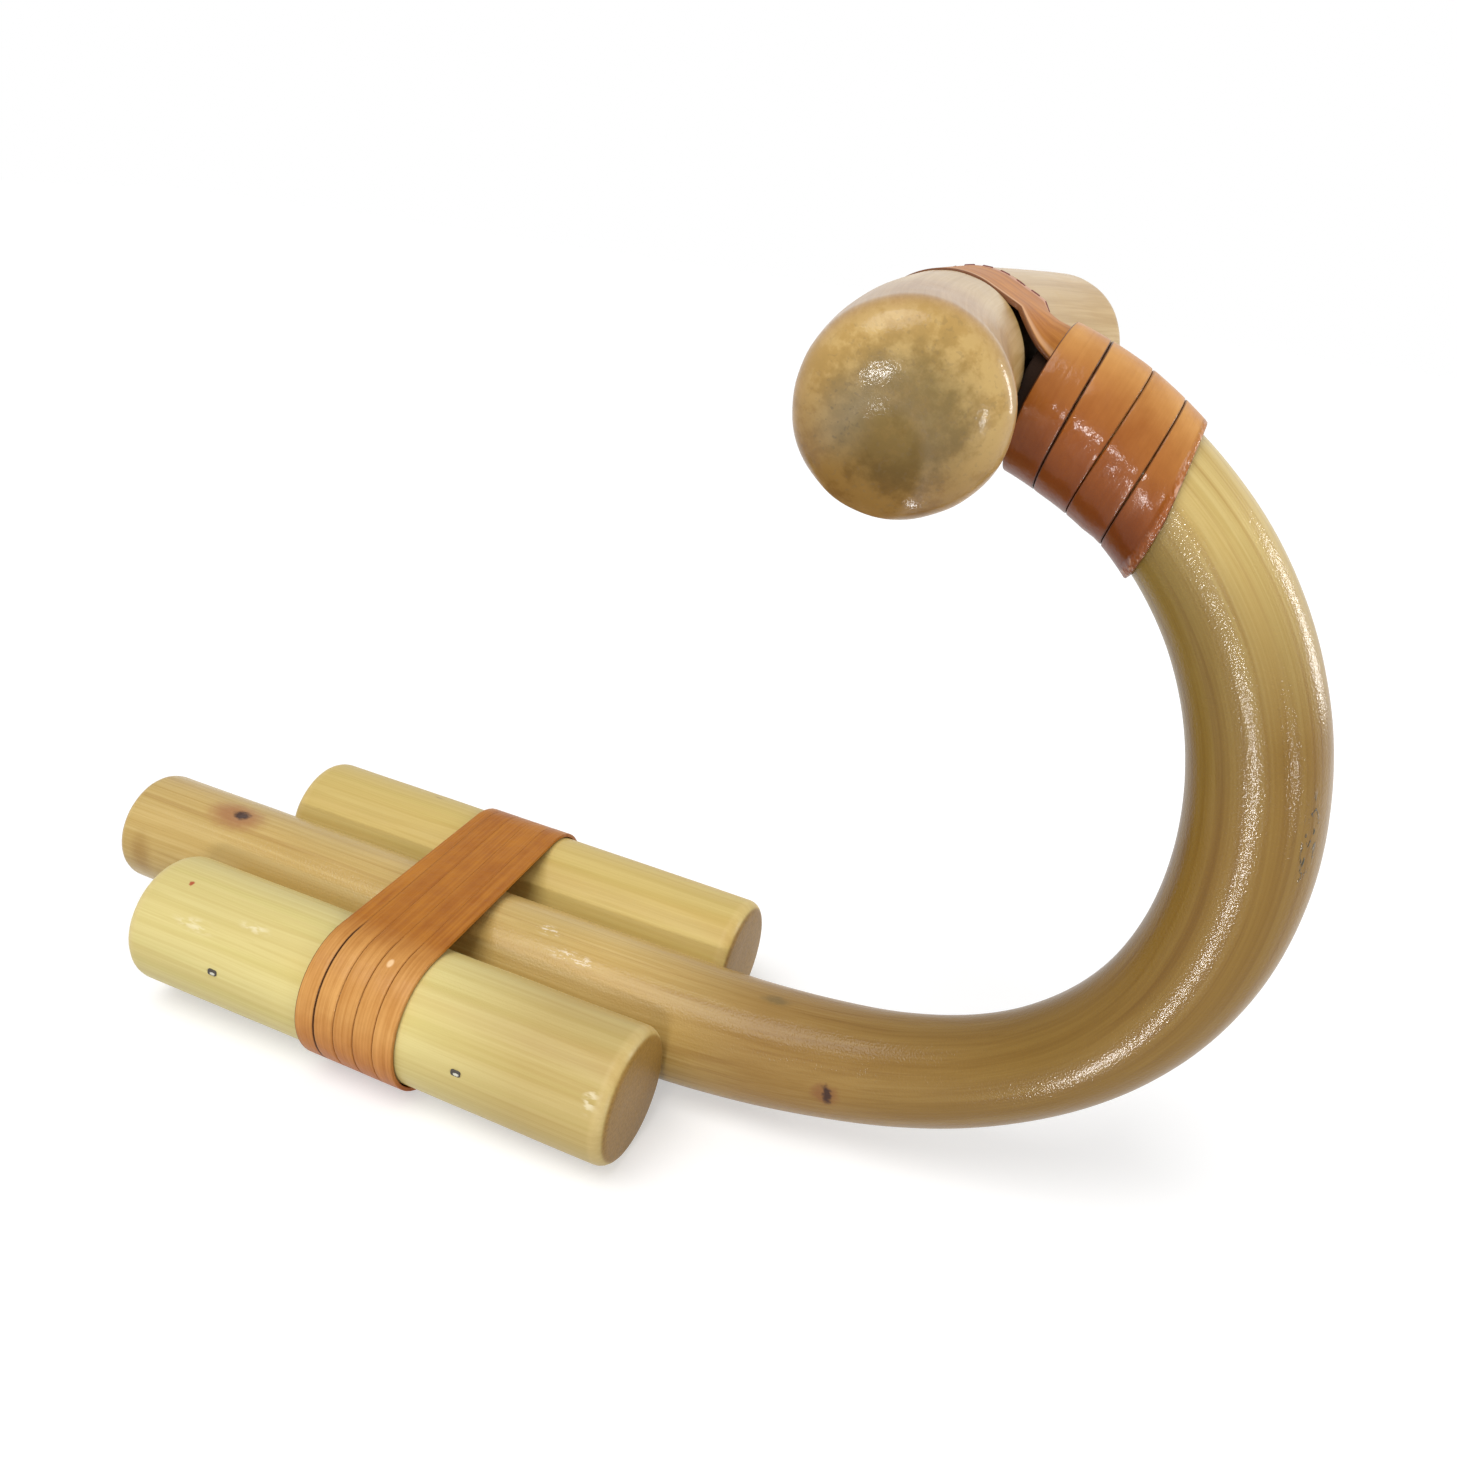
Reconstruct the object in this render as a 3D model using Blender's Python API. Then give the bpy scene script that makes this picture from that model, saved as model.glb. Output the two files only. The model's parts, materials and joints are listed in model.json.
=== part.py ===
"""Bent cane yoke hook: a thick cane stem bent into a crook, with an arched cross roll on its tip
and a side roll along each side of its foot.

The foot lies along X and the crook rises to +X. The rolls of the foot lie at -Y (near) and +Y (far).
The pieces are laid out from the stem's foot end, on the level of the side rolls' axes. The whole is
then set down as it rests, on the foot lashing's edge and the side rolls' ends, with the origin on
the ground under its middle.
"""

import math

import bmesh
import bpy
import numpy as np
from mathutils import Matrix, Vector

# All sizes are in metres.

# Clearance between two pieces that touch.
GAP = 0.0003

# Stem: its axis lies in the XZ plane, straight along the foot and then bent more and less tightly.
STEM_LENGTH = 0.4998
STEM_DIP = math.radians(0.17)
STEM_LIFT = 0.0008
FOOT_RUN = 0.144
EASE_RUN = 0.0865
BEND_STEP = 0.0494
EASE_BEND_RADIUS = 0.256
HEEL_BEND_RADIUS = 0.1015
TIGHT_BEND_RADIUS = 0.0732
CROOK_BEND_RADIUS = 0.1082
TIP_BEND_RADIUS = 0.0890

# Stem: the cane's own radius at its foot, where it swells, in the tight bend, past it and at its tip.
FOOT_RADIUS = 0.0175
SWELL_RADIUS = 0.0179
TIGHT_RADIUS = 0.0142
CROOK_RADIUS = 0.0154
TIP_RADIUS = 0.0140
SWELL_START = 0.129
SWELL_LENGTH = 0.0515
TIGHT_AT = 0.2965
CROOK_AT = 0.379
STEM_EDGE_ROUNDING = 0.0025
TIP_EDGE_ROUNDING = 0.0008

# Side rolls, one on each side of the foot.
ROLL_RADIUS = 0.01905
NEAR_ROLL_LENGTH = 0.1545
FAR_ROLL_LENGTH = 0.1585
ROLL_EDGE_ROUNDING = 0.0038
NEAR_ROLL_SETBACK = 0.0416
FAR_ROLL_SETBACK = 0.0374

# Cross roll on the stem's tip: its ends drop back on either side of the stem.
CROSS_RADIUS = 0.018
CROSS_END_RADIUS = 0.0194
CROSS_HALF_LENGTH = 0.0795
CROSS_ARCH_RADIUS = 0.268
CROSS_DOME_DEPTH = 0.010
CROSS_DOME_POWER = 2.4

# Groove turned round the cross roll for the sling strap, which lies about flush in it.
GROOVE_SIDE_CLEARANCE = 0.0006
GROOVE_SIDE_RUN = 0.0010

# Hidden dowel that holds the cross roll on the stem's tip.
DOWEL_RADIUS = 0.004
DOWEL_IN_STEM = 0.020
DOWEL_IN_ROLL = 0.018
DOWEL_CHAMFER = 0.0005

# Foot lashing: one leather strip wound round the foot and both side rolls.
FOOT_LASHING_FROM_ROLL_END = 0.0593
FOOT_LASHING_WIDTH = 0.0315
FOOT_LASHING_THICKNESS = 0.0011
FOOT_LASHING_SKEW = math.radians(3.4)
FOOT_LASHING_TURNS = 5

# Head lashing: one leather strip wound round the stem's tip and the tails of the sling strap.
HEAD_LASHING_FROM_TIP = 0.0030
HEAD_LASHING_LENGTH = 0.0378
HEAD_LASHING_SLANT = 0.0075
HEAD_LASHING_THICKNESS = 0.0012
HEAD_LASHING_TURNS = 4
HEAD_LASHING_CLIMB = 0.006

# Sling strap: it passes over the cross roll a little to the far side of its middle, and its tails lie
# on the stem's outer and inner sides.
STRAP_WIDTH = 0.0288
STRAP_ASIDE = 0.0008
STRAP_THICKNESS = 0.0010
STRAP_END_THICKNESS = 0.0004
STRAP_TAIL_LENGTH = 0.030
STRAP_SKIVE_LENGTH = 0.013
STRAP_CUP_RUN = 0.0095
GROOVE_DEPTH = STRAP_THICKNESS + GAP
GROOVE_HALF_WIDTH = STRAP_WIDTH / 2 + GROOVE_SIDE_CLEARANCE

# Brads, driven through each side roll into the foot from a little above its outer side.
BRAD_RISE = math.radians(8)
BRAD_SHANK_RADIUS = 0.0008
BRAD_IN_STEM = 0.010
BRAD_HEAD_LENGTH = 0.0030
BRAD_HEAD_WIDTH = 0.0018
BRAD_HEAD_THICKNESS = 0.0010
BRAD_HEAD_PROUD = 0.0002
BRADS_FROM_ROLL_END = (0.0322, 0.1116)

# Tacks: flat heads set flush in the strap's tails, and domed heads on the strips' ends.
TACK_SHANK_RADIUS = 0.0006
TACK_HEAD_RADIUS = 0.0013
FLUSH_TACK_HEAD_THICKNESS = 0.0004
DOMED_TACK_HEAD_THICKNESS = 0.0006
TACK_GRIP = 0.006
FLUSH_TACK_CROWN = 0.8
DOMED_TACK_CROWN = 0.5
STRAP_TACK_FROM_TIP = 0.012
TACK_FROM_STRIP_END = 0.003

# Points of brads and tacks, as shares of the shank's radius.
POINT_LENGTH = 3.0
POINT_TIP = 0.25

# Faceting.
SHARP_ANGLE = math.radians(35)
PATH_STEP = 0.0005
STEM_SECTION_STEP = 0.010
ROD_SIDES = 24
EDGE_STEPS = 3
CROSS_BODY_STEPS = 5
CROSS_DOME_STATIONS = (0.02, 0.12, 0.3, 0.6)
FASTENER_SIDES = 8
LASHING_STEPS_PER_TURN = 32
LASHING_CORNER_STEPS = 6
STRAP_COLUMNS = 6
STRAP_TAIL_STEPS = 6
STRAP_RUN_STEPS = 5
STRAP_ARC_STEPS = 18
CUTTER_OVERRUN = 0.004

MATERIALS = {
    "stem_cane": ((0.62, 0.36, 0.13), 0.28, 0.0),
    "roll_cane": ((0.80, 0.62, 0.30), 0.35, 0.0),
    "cross_roll_cane": ((0.60, 0.39, 0.17), 0.32, 0.0),
    "lashing_leather": ((0.42, 0.13, 0.035), 0.38, 0.0),
    "strap_leather": ((0.45, 0.16, 0.06), 0.42, 0.0),
    "dowel_wood": ((0.72, 0.56, 0.36), 0.60, 0.0),
    "steel": ((0.42, 0.40, 0.38), 0.40, 1.0),
}


def clear_scene():
    for scene_object in list(bpy.data.objects):
        bpy.data.objects.remove(scene_object, do_unlink=True)


def material(name):
    """The Principled material of this name, made when it is first asked for."""
    if name in bpy.data.materials:
        return bpy.data.materials[name]
    colour, roughness, metallic = MATERIALS[name]
    made = bpy.data.materials.new(name)
    made.use_nodes = True
    shader = made.node_tree.nodes["Principled BSDF"]
    shader.inputs["Base Color"].default_value = (*colour, 1.0)
    shader.inputs["Roughness"].default_value = roughness
    shader.inputs["Metallic"].default_value = metallic
    return made


def smooth(share):
    """Eases from 0 to 1 as the share goes from 0 to 1."""
    share = min(max(share, 0.0), 1.0)
    return share * share * (3.0 - 2.0 * share)


def eased(stations, distance):
    """The value at a distance, easing from each (distance, value) station to the next."""
    for (start, first), (end, last) in zip(stations, stations[1:]):
        if distance <= end:
            return first + (last - first) * smooth((distance - start) / (end - start))
    return stations[-1][1]


# The stem's axis.


def bends():
    """(distance along the stem, curvature) where the bend changes; it runs evenly between them."""
    radii = (
        EASE_BEND_RADIUS,
        HEEL_BEND_RADIUS,
        TIGHT_BEND_RADIUS,
        CROOK_BEND_RADIUS,
    )
    found = [(0.0, 0.0), (FOOT_RUN, 0.0)]
    for count, radius in enumerate(radii):
        found.append((FOOT_RUN + EASE_RUN + count * BEND_STEP, 1.0 / radius))
    found.append((STEM_LENGTH, 1.0 / TIP_BEND_RADIUS))
    return np.array(found).T


def cane_radius(distance):
    """The stem's radius at a distance from its foot."""
    return eased(
        (
            (0.0, FOOT_RADIUS),
            (SWELL_START, SWELL_RADIUS),
            (SWELL_START + SWELL_LENGTH, SWELL_RADIUS),
            (TIGHT_AT, TIGHT_RADIUS),
            (CROOK_AT, CROOK_RADIUS),
            (STEM_LENGTH, TIP_RADIUS),
        ),
        distance,
    )


def running_total(values, steps):
    """The integral of the values up to each of them."""
    return np.concatenate(([0.0], np.cumsum((values[1:] + values[:-1]) / 2 * steps)))


def stem_axis():
    """Distances along the stem, with its axis's x, z and heading at each, level with the side rolls."""
    distances = np.linspace(0.0, STEM_LENGTH, round(STEM_LENGTH / PATH_STEP) + 1)
    steps = np.diff(distances)
    headings = running_total(np.interp(distances, *bends()), steps) - STEM_DIP
    across = running_total(np.cos(headings), steps)
    up = running_total(np.sin(headings), steps)
    radii = np.array([cane_radius(distance) for distance in distances])
    lowest = (up - radii * np.cos(headings)).min()
    return distances, across, up - lowest - ROLL_RADIUS + STEM_LIFT, headings


AXIS_DISTANCES, AXIS_X, AXIS_Z, AXIS_HEADINGS = stem_axis()
ROLL_AXIS_Y = SWELL_RADIUS + GAP + ROLL_RADIUS


def stem_frame(distance):
    """The axis's point at a distance, the direction along it, and the crook's outward direction."""
    centre = Vector(
        (
            np.interp(distance, AXIS_DISTANCES, AXIS_X),
            0.0,
            np.interp(distance, AXIS_DISTANCES, AXIS_Z),
        )
    )
    heading = np.interp(distance, AXIS_DISTANCES, AXIS_HEADINGS)
    along = Vector((math.cos(heading), 0.0, math.sin(heading)))
    outward = Vector((math.sin(heading), 0.0, -math.cos(heading)))
    return centre, along, outward


# Solids are swept: a closed outline is extruded from one section to the next.


def circle(radius, sides):
    """Points of a circle, as (across, up) pairs."""
    angles = [2 * math.pi * side / sides for side in range(sides)]
    return [(radius * math.cos(angle), radius * math.sin(angle)) for angle in angles]


def placed(outline, centre, across, up):
    """The outline's points in space."""
    return [centre + across * point[0] + up * point[1] for point in outline]


def turned_sections(stations, sides):
    """Circles on the local Z axis, one for each (height, radius) station."""
    across, up = Vector((1, 0, 0)), Vector((0, 1, 0))
    return [
        placed(circle(radius, sides), Vector((0, 0, height)), across, up)
        for height, radius in stations
    ]


def swept_mesh(name, sections):
    """A closed mesh through the sections, made by extruding the first one's face."""
    shape = bmesh.new()
    face = shape.faces.new([shape.verts.new(point) for point in sections[0]])
    for count, section in enumerate(sections[1:]):
        extruded = bmesh.ops.extrude_face_region(shape, geom=[face])["geom"]
        moved = next(item for item in extruded if isinstance(item, bmesh.types.BMFace))
        if count:
            bmesh.ops.delete(shape, geom=[face], context="FACES_ONLY")
        face = moved
        for vertex, point in zip(face.verts, section):
            vertex.co = point
    bmesh.ops.recalc_face_normals(shape, faces=shape.faces)
    mesh = bpy.data.meshes.new(name)
    shape.to_mesh(mesh)
    shape.free()
    mesh.shade_smooth()
    mesh.set_sharp_from_angle(angle=SHARP_ANGLE)
    return mesh


def add_piece(name, mesh, slot, root, place=None):
    """A sub-part's object with its material, under the root empty."""
    piece = bpy.data.objects.new(name, mesh)
    if not mesh.materials:
        mesh.materials.append(material(slot))
    piece.parent = root
    piece.matrix_basis = place or Matrix()
    bpy.context.collection.objects.link(piece)
    return piece


def cut(pieces, name, sections, place):
    """Takes one swept shape out of each of the pieces."""
    cutter = bpy.data.objects.new(name, swept_mesh(name, sections))
    cutter.parent = pieces[0].parent
    cutter.matrix_basis = place
    cutter.hide_render = True
    cutter.display_type = "WIRE"
    bpy.context.collection.objects.link(cutter)
    for piece in pieces:
        modifier = piece.modifiers.new(name, "BOOLEAN")
        modifier.operation = "DIFFERENCE"
        modifier.object = cutter


def facing(point, direction, sideways):
    """A placement at the point, with local Z along the direction and local X near sideways."""
    upward = direction.normalized()
    aside = (sideways - upward * sideways.dot(upward)).normalized()
    turn = Matrix((aside, upward.cross(aside), upward)).transposed().to_4x4()
    return Matrix.Translation(point) @ turn


def rounded_end(radius, rounding):
    """(distance from the end, radius) stations of a rod's rounded edge, from the end inward."""
    angles = [math.pi / 2 * step / EDGE_STEPS for step in range(EDGE_STEPS + 1)]
    return [
        (
            rounding * (1 - math.cos(angle)),
            radius - rounding * (1 - math.sin(angle)),
        )
        for angle in angles
    ]


# Stem and rolls.


def make_stem(root):
    rounding = rounded_end(FOOT_RADIUS, STEM_EDGE_ROUNDING)
    count = round(STEM_LENGTH / STEM_SECTION_STEP)
    steps = [STEM_LENGTH * step / count for step in range(1, count)]
    stations = rounding + [(step, cane_radius(step)) for step in steps]
    stations.append((STEM_LENGTH - TIP_EDGE_ROUNDING, TIP_RADIUS))
    stations.append((STEM_LENGTH, TIP_RADIUS - TIP_EDGE_ROUNDING))
    sections = []
    for distance, radius in stations:
        centre, _, outward = stem_frame(distance)
        outline = circle(radius, ROD_SIDES)
        sections.append(placed(outline, centre, outward, Vector((0, 1, 0))))
    mesh = swept_mesh("bent_cane_stem", sections)
    return add_piece("bent_cane_stem", mesh, "stem_cane", root)


def roll_start(side):
    """Where a side roll's foot end lies along X; side is -1 for the near roll, 1 for the far one."""
    return FAR_ROLL_SETBACK if side > 0 else NEAR_ROLL_SETBACK


def roll_length(side):
    return FAR_ROLL_LENGTH if side > 0 else NEAR_ROLL_LENGTH


def make_side_roll(name, side, root):
    near_end = rounded_end(ROLL_RADIUS, ROLL_EDGE_ROUNDING)
    length = roll_length(side)
    far_end = [(length - height, radius) for height, radius in reversed(near_end)]
    mesh = swept_mesh(name, turned_sections(near_end + far_end, ROD_SIDES))
    start = Vector((roll_start(side), side * ROLL_AXIS_Y, 0))
    place = facing(start, Vector((1, 0, 0)), Vector((0, 0, 1)))
    return add_piece(name, mesh, "roll_cane", root, place)


def cross_roll_drop(offset):
    """How far the cross roll's axis drops back towards the foot, at an offset along Y."""
    return CROSS_ARCH_RADIUS - math.sqrt(CROSS_ARCH_RADIUS**2 - offset**2)


def cross_roll_centre():
    """The middle of the cross roll's axis: its groove touches the tip's rim on either side."""
    centre, along, _ = stem_frame(STEM_LENGTH)
    reach = CROSS_RADIUS - GROOVE_DEPTH + cross_roll_drop(TIP_RADIUS) + GAP
    return centre + along * reach


def cross_roll_radius(offset):
    """The cross roll's radius at an offset along Y, with its groove and a dome at each end."""
    barrel = CROSS_RADIUS + (CROSS_END_RADIUS - CROSS_RADIUS) * (
        offset / CROSS_HALF_LENGTH
    ) ** 2
    from_groove = (abs(offset - STRAP_ASIDE) - GROOVE_HALF_WIDTH) / GROOVE_SIDE_RUN
    barrel -= GROOVE_DEPTH * (1.0 - min(max(from_groove, 0.0), 1.0))
    from_end = CROSS_HALF_LENGTH - abs(offset)
    if from_end >= CROSS_DOME_DEPTH:
        return barrel
    share = 1.0 - (1.0 - from_end / CROSS_DOME_DEPTH) ** CROSS_DOME_POWER
    return barrel * share ** (1.0 / CROSS_DOME_POWER)


def cross_roll_half(side):
    """Offsets of the cross roll's sections, from its groove to its end; side is 1 at +Y."""
    body_end = CROSS_HALF_LENGTH - CROSS_DOME_DEPTH
    past_groove = GROOVE_HALF_WIDTH + GROOVE_SIDE_RUN + side * STRAP_ASIDE
    run = (body_end - past_groove) / CROSS_BODY_STEPS
    groove = [share * GROOVE_HALF_WIDTH + side * STRAP_ASIDE for share in (0.5, 1.0)]
    body = [past_groove + run * step for step in range(CROSS_BODY_STEPS + 1)]
    dome = [CROSS_HALF_LENGTH - CROSS_DOME_DEPTH * share for share in CROSS_DOME_STATIONS]
    return [side * offset for offset in groove + body + dome[::-1]]


def make_cross_roll(root):
    middle = cross_roll_centre()
    _, along, outward = stem_frame(STEM_LENGTH)
    sections = []
    for offset in cross_roll_half(1)[::-1] + [STRAP_ASIDE] + cross_roll_half(-1):
        centre = middle + Vector((0, offset, 0)) - along * cross_roll_drop(offset)
        lean = math.asin(offset / CROSS_ARCH_RADIUS)
        back = along * math.cos(lean) + Vector((0, math.sin(lean), 0))
        outline = circle(cross_roll_radius(offset), ROD_SIDES)
        sections.append(placed(outline, centre, outward, back))
    mesh = swept_mesh("cross_roll", sections)
    return add_piece("cross_roll", mesh, "cross_roll_cane", root)


def make_dowel(root, stem, cross_roll):
    centre, along, outward = stem_frame(STEM_LENGTH)
    stations = [
        (-DOWEL_IN_STEM, DOWEL_RADIUS - DOWEL_CHAMFER),
        (DOWEL_CHAMFER - DOWEL_IN_STEM, DOWEL_RADIUS),
        (DOWEL_IN_ROLL - DOWEL_CHAMFER, DOWEL_RADIUS),
        (DOWEL_IN_ROLL, DOWEL_RADIUS - DOWEL_CHAMFER),
    ]
    bore = [
        (-DOWEL_IN_STEM - GAP, DOWEL_RADIUS + GAP),
        (DOWEL_IN_ROLL + GAP, DOWEL_RADIUS + GAP),
    ]
    place = facing(centre, along, outward)
    mesh = swept_mesh("cross_roll_dowel", turned_sections(stations, ROD_SIDES // 2))
    dowel = add_piece("cross_roll_dowel", mesh, "dowel_wood", root, place)
    cut([stem, cross_roll], "dowel_bore", turned_sections(bore, ROD_SIDES // 2), place)
    return dowel


# Leather strap and lashings.


def strap_thickness(distance):
    """The strap's thickness over a place on the stem: its tails are pared thin at their ends."""
    tail_end = STEM_LENGTH - STRAP_TAIL_LENGTH
    share = min(max((distance - tail_end) / STRAP_SKIVE_LENGTH, 0.0), 1.0)
    return STRAP_END_THICKNESS + (STRAP_THICKNESS - STRAP_END_THICKNESS) * share


def strap_section(middle, outward, thickness, cup):
    """The strap's outline across its width. Cup is its curvature there, zero where it is flat."""
    outer, inner = [], []
    for column in range(STRAP_COLUMNS + 1):
        offset = STRAP_ASIDE + STRAP_WIDTH * (column / STRAP_COLUMNS - 0.5)
        turn = offset * cup
        aside, drop = offset, 0.0
        if cup:
            aside, drop = math.sin(turn) / cup, (1.0 - math.cos(turn)) / cup
        face = outward * math.cos(turn) + Vector((0, math.sin(turn), 0))
        point = middle + Vector((0, aside, 0)) - outward * drop
        outer.append(point + face * thickness / 2)
        inner.append(point - face * thickness / 2)
    return outer + inner[::-1]


def strap_cup(past_tip):
    """How far the strap still follows the stem's round side, at a length past the stem's tip: it
    flattens evenly once it has left the head lashing."""
    return 1.0 - min(max((past_tip + HEAD_LASHING_FROM_TIP) / STRAP_CUP_RUN, 0.0), 1.0)


def strap_tail_sections(side):
    """Sections along a tail, from its end to the tip; side is 1 on the crook's outer side."""
    lashing_edge = STEM_LENGTH - HEAD_LASHING_FROM_TIP
    lashed = STRAP_TAIL_LENGTH - HEAD_LASHING_FROM_TIP
    steps = range(STRAP_TAIL_STEPS)
    distances = [lashing_edge - lashed * (1.0 - step / STRAP_TAIL_STEPS) for step in steps]
    sections = []
    for distance in distances + [lashing_edge, STEM_LENGTH]:
        centre, _, outward = stem_frame(distance)
        thickness = strap_thickness(distance)
        reach = cane_radius(distance) + GAP + thickness / 2
        middle = centre + outward * side * reach
        cup = strap_cup(distance - STEM_LENGTH) / reach
        sections.append(strap_section(middle, outward * side, thickness, cup))
    return sections


def strap_loop_sections():
    """Sections from the tip's outer side, over the cross roll, to the tip's inner side."""
    tip, along, outward = stem_frame(STEM_LENGTH)
    hub = cross_roll_centre()
    reach = TIP_RADIUS + GAP + STRAP_THICKNESS / 2
    wrap = cross_roll_radius(STRAP_WIDTH / 2) + GAP + STRAP_THICKNESS / 2
    setback = (hub - tip).dot(along)
    # The straight run leaves the stem's side and meets the roll's circle as a tangent.
    start = math.atan2(-setback, reach) + math.acos(wrap / math.hypot(setback, reach))
    meets = hub + (outward * math.cos(start) + along * math.sin(start)) * wrap
    run = meets - (tip + outward * reach)
    face = outward * math.cos(start) + along * math.sin(start)
    leaving = []
    for step in range(1, STRAP_RUN_STEPS):
        share = step / STRAP_RUN_STEPS
        middle = tip + outward * reach + run * share
        leaving.append((middle, face, strap_cup(run.length * share) / reach))
    over = []
    for step in range(STRAP_ARC_STEPS + 1):
        angle = start + (math.pi - 2 * start) * step / STRAP_ARC_STEPS
        face = outward * math.cos(angle) + along * math.sin(angle)
        over.append((hub + face * wrap, face, 0.0))
    mirror = []
    for middle, face, cup in reversed(leaving):
        rise, turn = (middle - tip).dot(outward), face.dot(outward)
        mirror.append((middle - outward * 2 * rise, face - outward * 2 * turn, cup))
    return [
        strap_section(middle, face, STRAP_THICKNESS, cup)
        for middle, face, cup in leaving + over + mirror
    ]


def make_strap(root):
    outer_tail = strap_tail_sections(1)
    inner_tail = strap_tail_sections(-1)[::-1]
    sections = outer_tail + strap_loop_sections() + inner_tail
    mesh = swept_mesh("head_sling_strap", sections)
    return add_piece("head_sling_strap", mesh, "strap_leather", root)


def wound_strip(name, surface, turns, stops, thickness, slot, root):
    """A strip wound side by side over a surface.

    surface(share, turn) gives the point at a share of the lashing's width, after so many turns, and
    the direction out of it. The strip is cut to half its width where it starts and ends, so that the
    lashing's two edges are square. Stops are the shares of a turn where it has a section.
    """
    sections = []
    for whole in range(turns):
        for stop in stops:
            turn = whole + stop
            sections.append(strip_section(surface, turn, turns, thickness))
    sections.append(strip_section(surface, float(turns), turns, thickness))
    return add_piece(name, swept_mesh(name, sections), slot, root)


def strip_section(surface, turn, turns, thickness):
    """The strip's outline after so many turns, from one edge to the other."""
    first = max((turn - 0.5) / turns, 0.0)
    last = min((turn + 0.5) / turns, 1.0)
    starts, out = surface(first, turn)
    ends, _ = surface(last, turn)
    if last < 1.0:
        ends = ends + (starts - ends).normalized() * GAP
    return [starts, ends, ends + out * thickness, starts + out * thickness]


def foot_lashing_start():
    return roll_start(-1) + FOOT_LASHING_FROM_ROLL_END


def foot_lashing_surface(share, turn):
    """On the flat-sided loop round the foot and its rolls, starting at the far side, then over the top."""
    radius = ROLL_RADIUS + GAP
    quarter = radius * math.pi / 2
    span = 2 * ROLL_AXIS_Y
    travel = (turn % 1.0) * (4 * quarter + 2 * span)
    x = foot_lashing_start() + FOOT_LASHING_WIDTH * share
    if travel <= quarter:
        angle, middle = travel / radius, ROLL_AXIS_Y
    elif travel <= quarter + span:
        angle, middle = math.pi / 2, ROLL_AXIS_Y - (travel - quarter)
    elif travel <= 3 * quarter + span:
        angle, middle = (travel - span) / radius, -ROLL_AXIS_Y
    elif travel <= 3 * quarter + 2 * span:
        angle, middle = 3 * math.pi / 2, travel - 3 * quarter - span - ROLL_AXIS_Y
    else:
        angle, middle = (travel - 2 * span) / radius, ROLL_AXIS_Y
    out = Vector((0, math.cos(angle), math.sin(angle)))
    x -= middle * math.tan(FOOT_LASHING_SKEW)
    return Vector((x, middle, 0)) + out * radius, out


def foot_lashing_stops():
    """Shares of a turn at the ends of the loop's flat runs and along its round sides."""
    steps = LASHING_CORNER_STEPS
    radius = ROLL_RADIUS + GAP
    quarter = radius * math.pi / 2
    span = 2 * ROLL_AXIS_Y
    far_up = [quarter * step / steps for step in range(steps + 1)]
    near = [quarter + span + quarter * step / steps for step in range(2 * steps + 1)]
    far_down = [3 * quarter + 2 * span + quarter * step / steps for step in range(steps)]
    return [travel / (4 * quarter + 2 * span) for travel in far_up + near + far_down]


def make_foot_lashing(root):
    return wound_strip(
        "foot_lashing",
        foot_lashing_surface,
        FOOT_LASHING_TURNS,
        foot_lashing_stops(),
        FOOT_LASHING_THICKNESS,
        "lashing_leather",
        root,
    )


def under_head_lashing(distance):
    """The radius that the head lashing lies on: the stem, then the tails' pared ends and the tails."""
    tail_end = STEM_LENGTH - STRAP_TAIL_LENGTH
    climb = smooth(1.0 + (distance - tail_end) / HEAD_LASHING_CLIMB)
    return cane_radius(distance) + GAP + (strap_thickness(distance) + GAP) * climb


def head_lashing_surface(share, turn):
    """On the stem's tip, starting at the far side, then over the crook's outer side.

    The turns slant more and more towards the lashing's lower edge.
    """
    angle = 2 * math.pi * turn
    slant = HEAD_LASHING_SLANT * share**3 * math.sin(angle)
    top = STEM_LENGTH - HEAD_LASHING_FROM_TIP
    distance = top - HEAD_LASHING_LENGTH * share + slant
    centre, _, outward = stem_frame(distance)
    out = outward * math.sin(angle) + Vector((0, math.cos(angle), 0))
    return centre + out * under_head_lashing(distance), out


def make_head_lashing(root):
    stops = [step / LASHING_STEPS_PER_TURN for step in range(LASHING_STEPS_PER_TURN)]
    return wound_strip(
        "head_lashing",
        head_lashing_surface,
        HEAD_LASHING_TURNS,
        stops,
        HEAD_LASHING_THICKNESS,
        "lashing_leather",
        root,
    )


# Fasteners: each is built with its head's underside at the origin and its point along -Z.


def brad_sections(length, clearance=0.0):
    """A round shank under an oblong head; with a clearance, the hole for it, open at the top."""
    shank = BRAD_SHANK_RADIUS + clearance
    half_length = BRAD_HEAD_LENGTH / 2 + clearance
    half_width = BRAD_HEAD_WIDTH / 2 + clearance
    top = BRAD_HEAD_THICKNESS + (CUTTER_OVERRUN if clearance else 0.0)
    head = [
        (half_length, 0.0),
        (half_length, half_width),
        (0.0, half_width),
        (-half_length, half_width),
        (-half_length, 0.0),
        (-half_length, -half_width),
        (0.0, -half_width),
        (half_length, -half_width),
    ]
    point = [] if clearance else [(-length, POINT_TIP * shank)]
    pared = -length - clearance if clearance else POINT_LENGTH * shank - length
    sections = turned_sections(point + [(pared, shank), (-clearance, shank)], len(head))
    across, up = Vector((1, 0, 0)), Vector((0, 1, 0))
    for height in (-clearance, top):
        sections.append(placed(head, Vector((0, 0, height)), across, up))
    return sections


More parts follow.
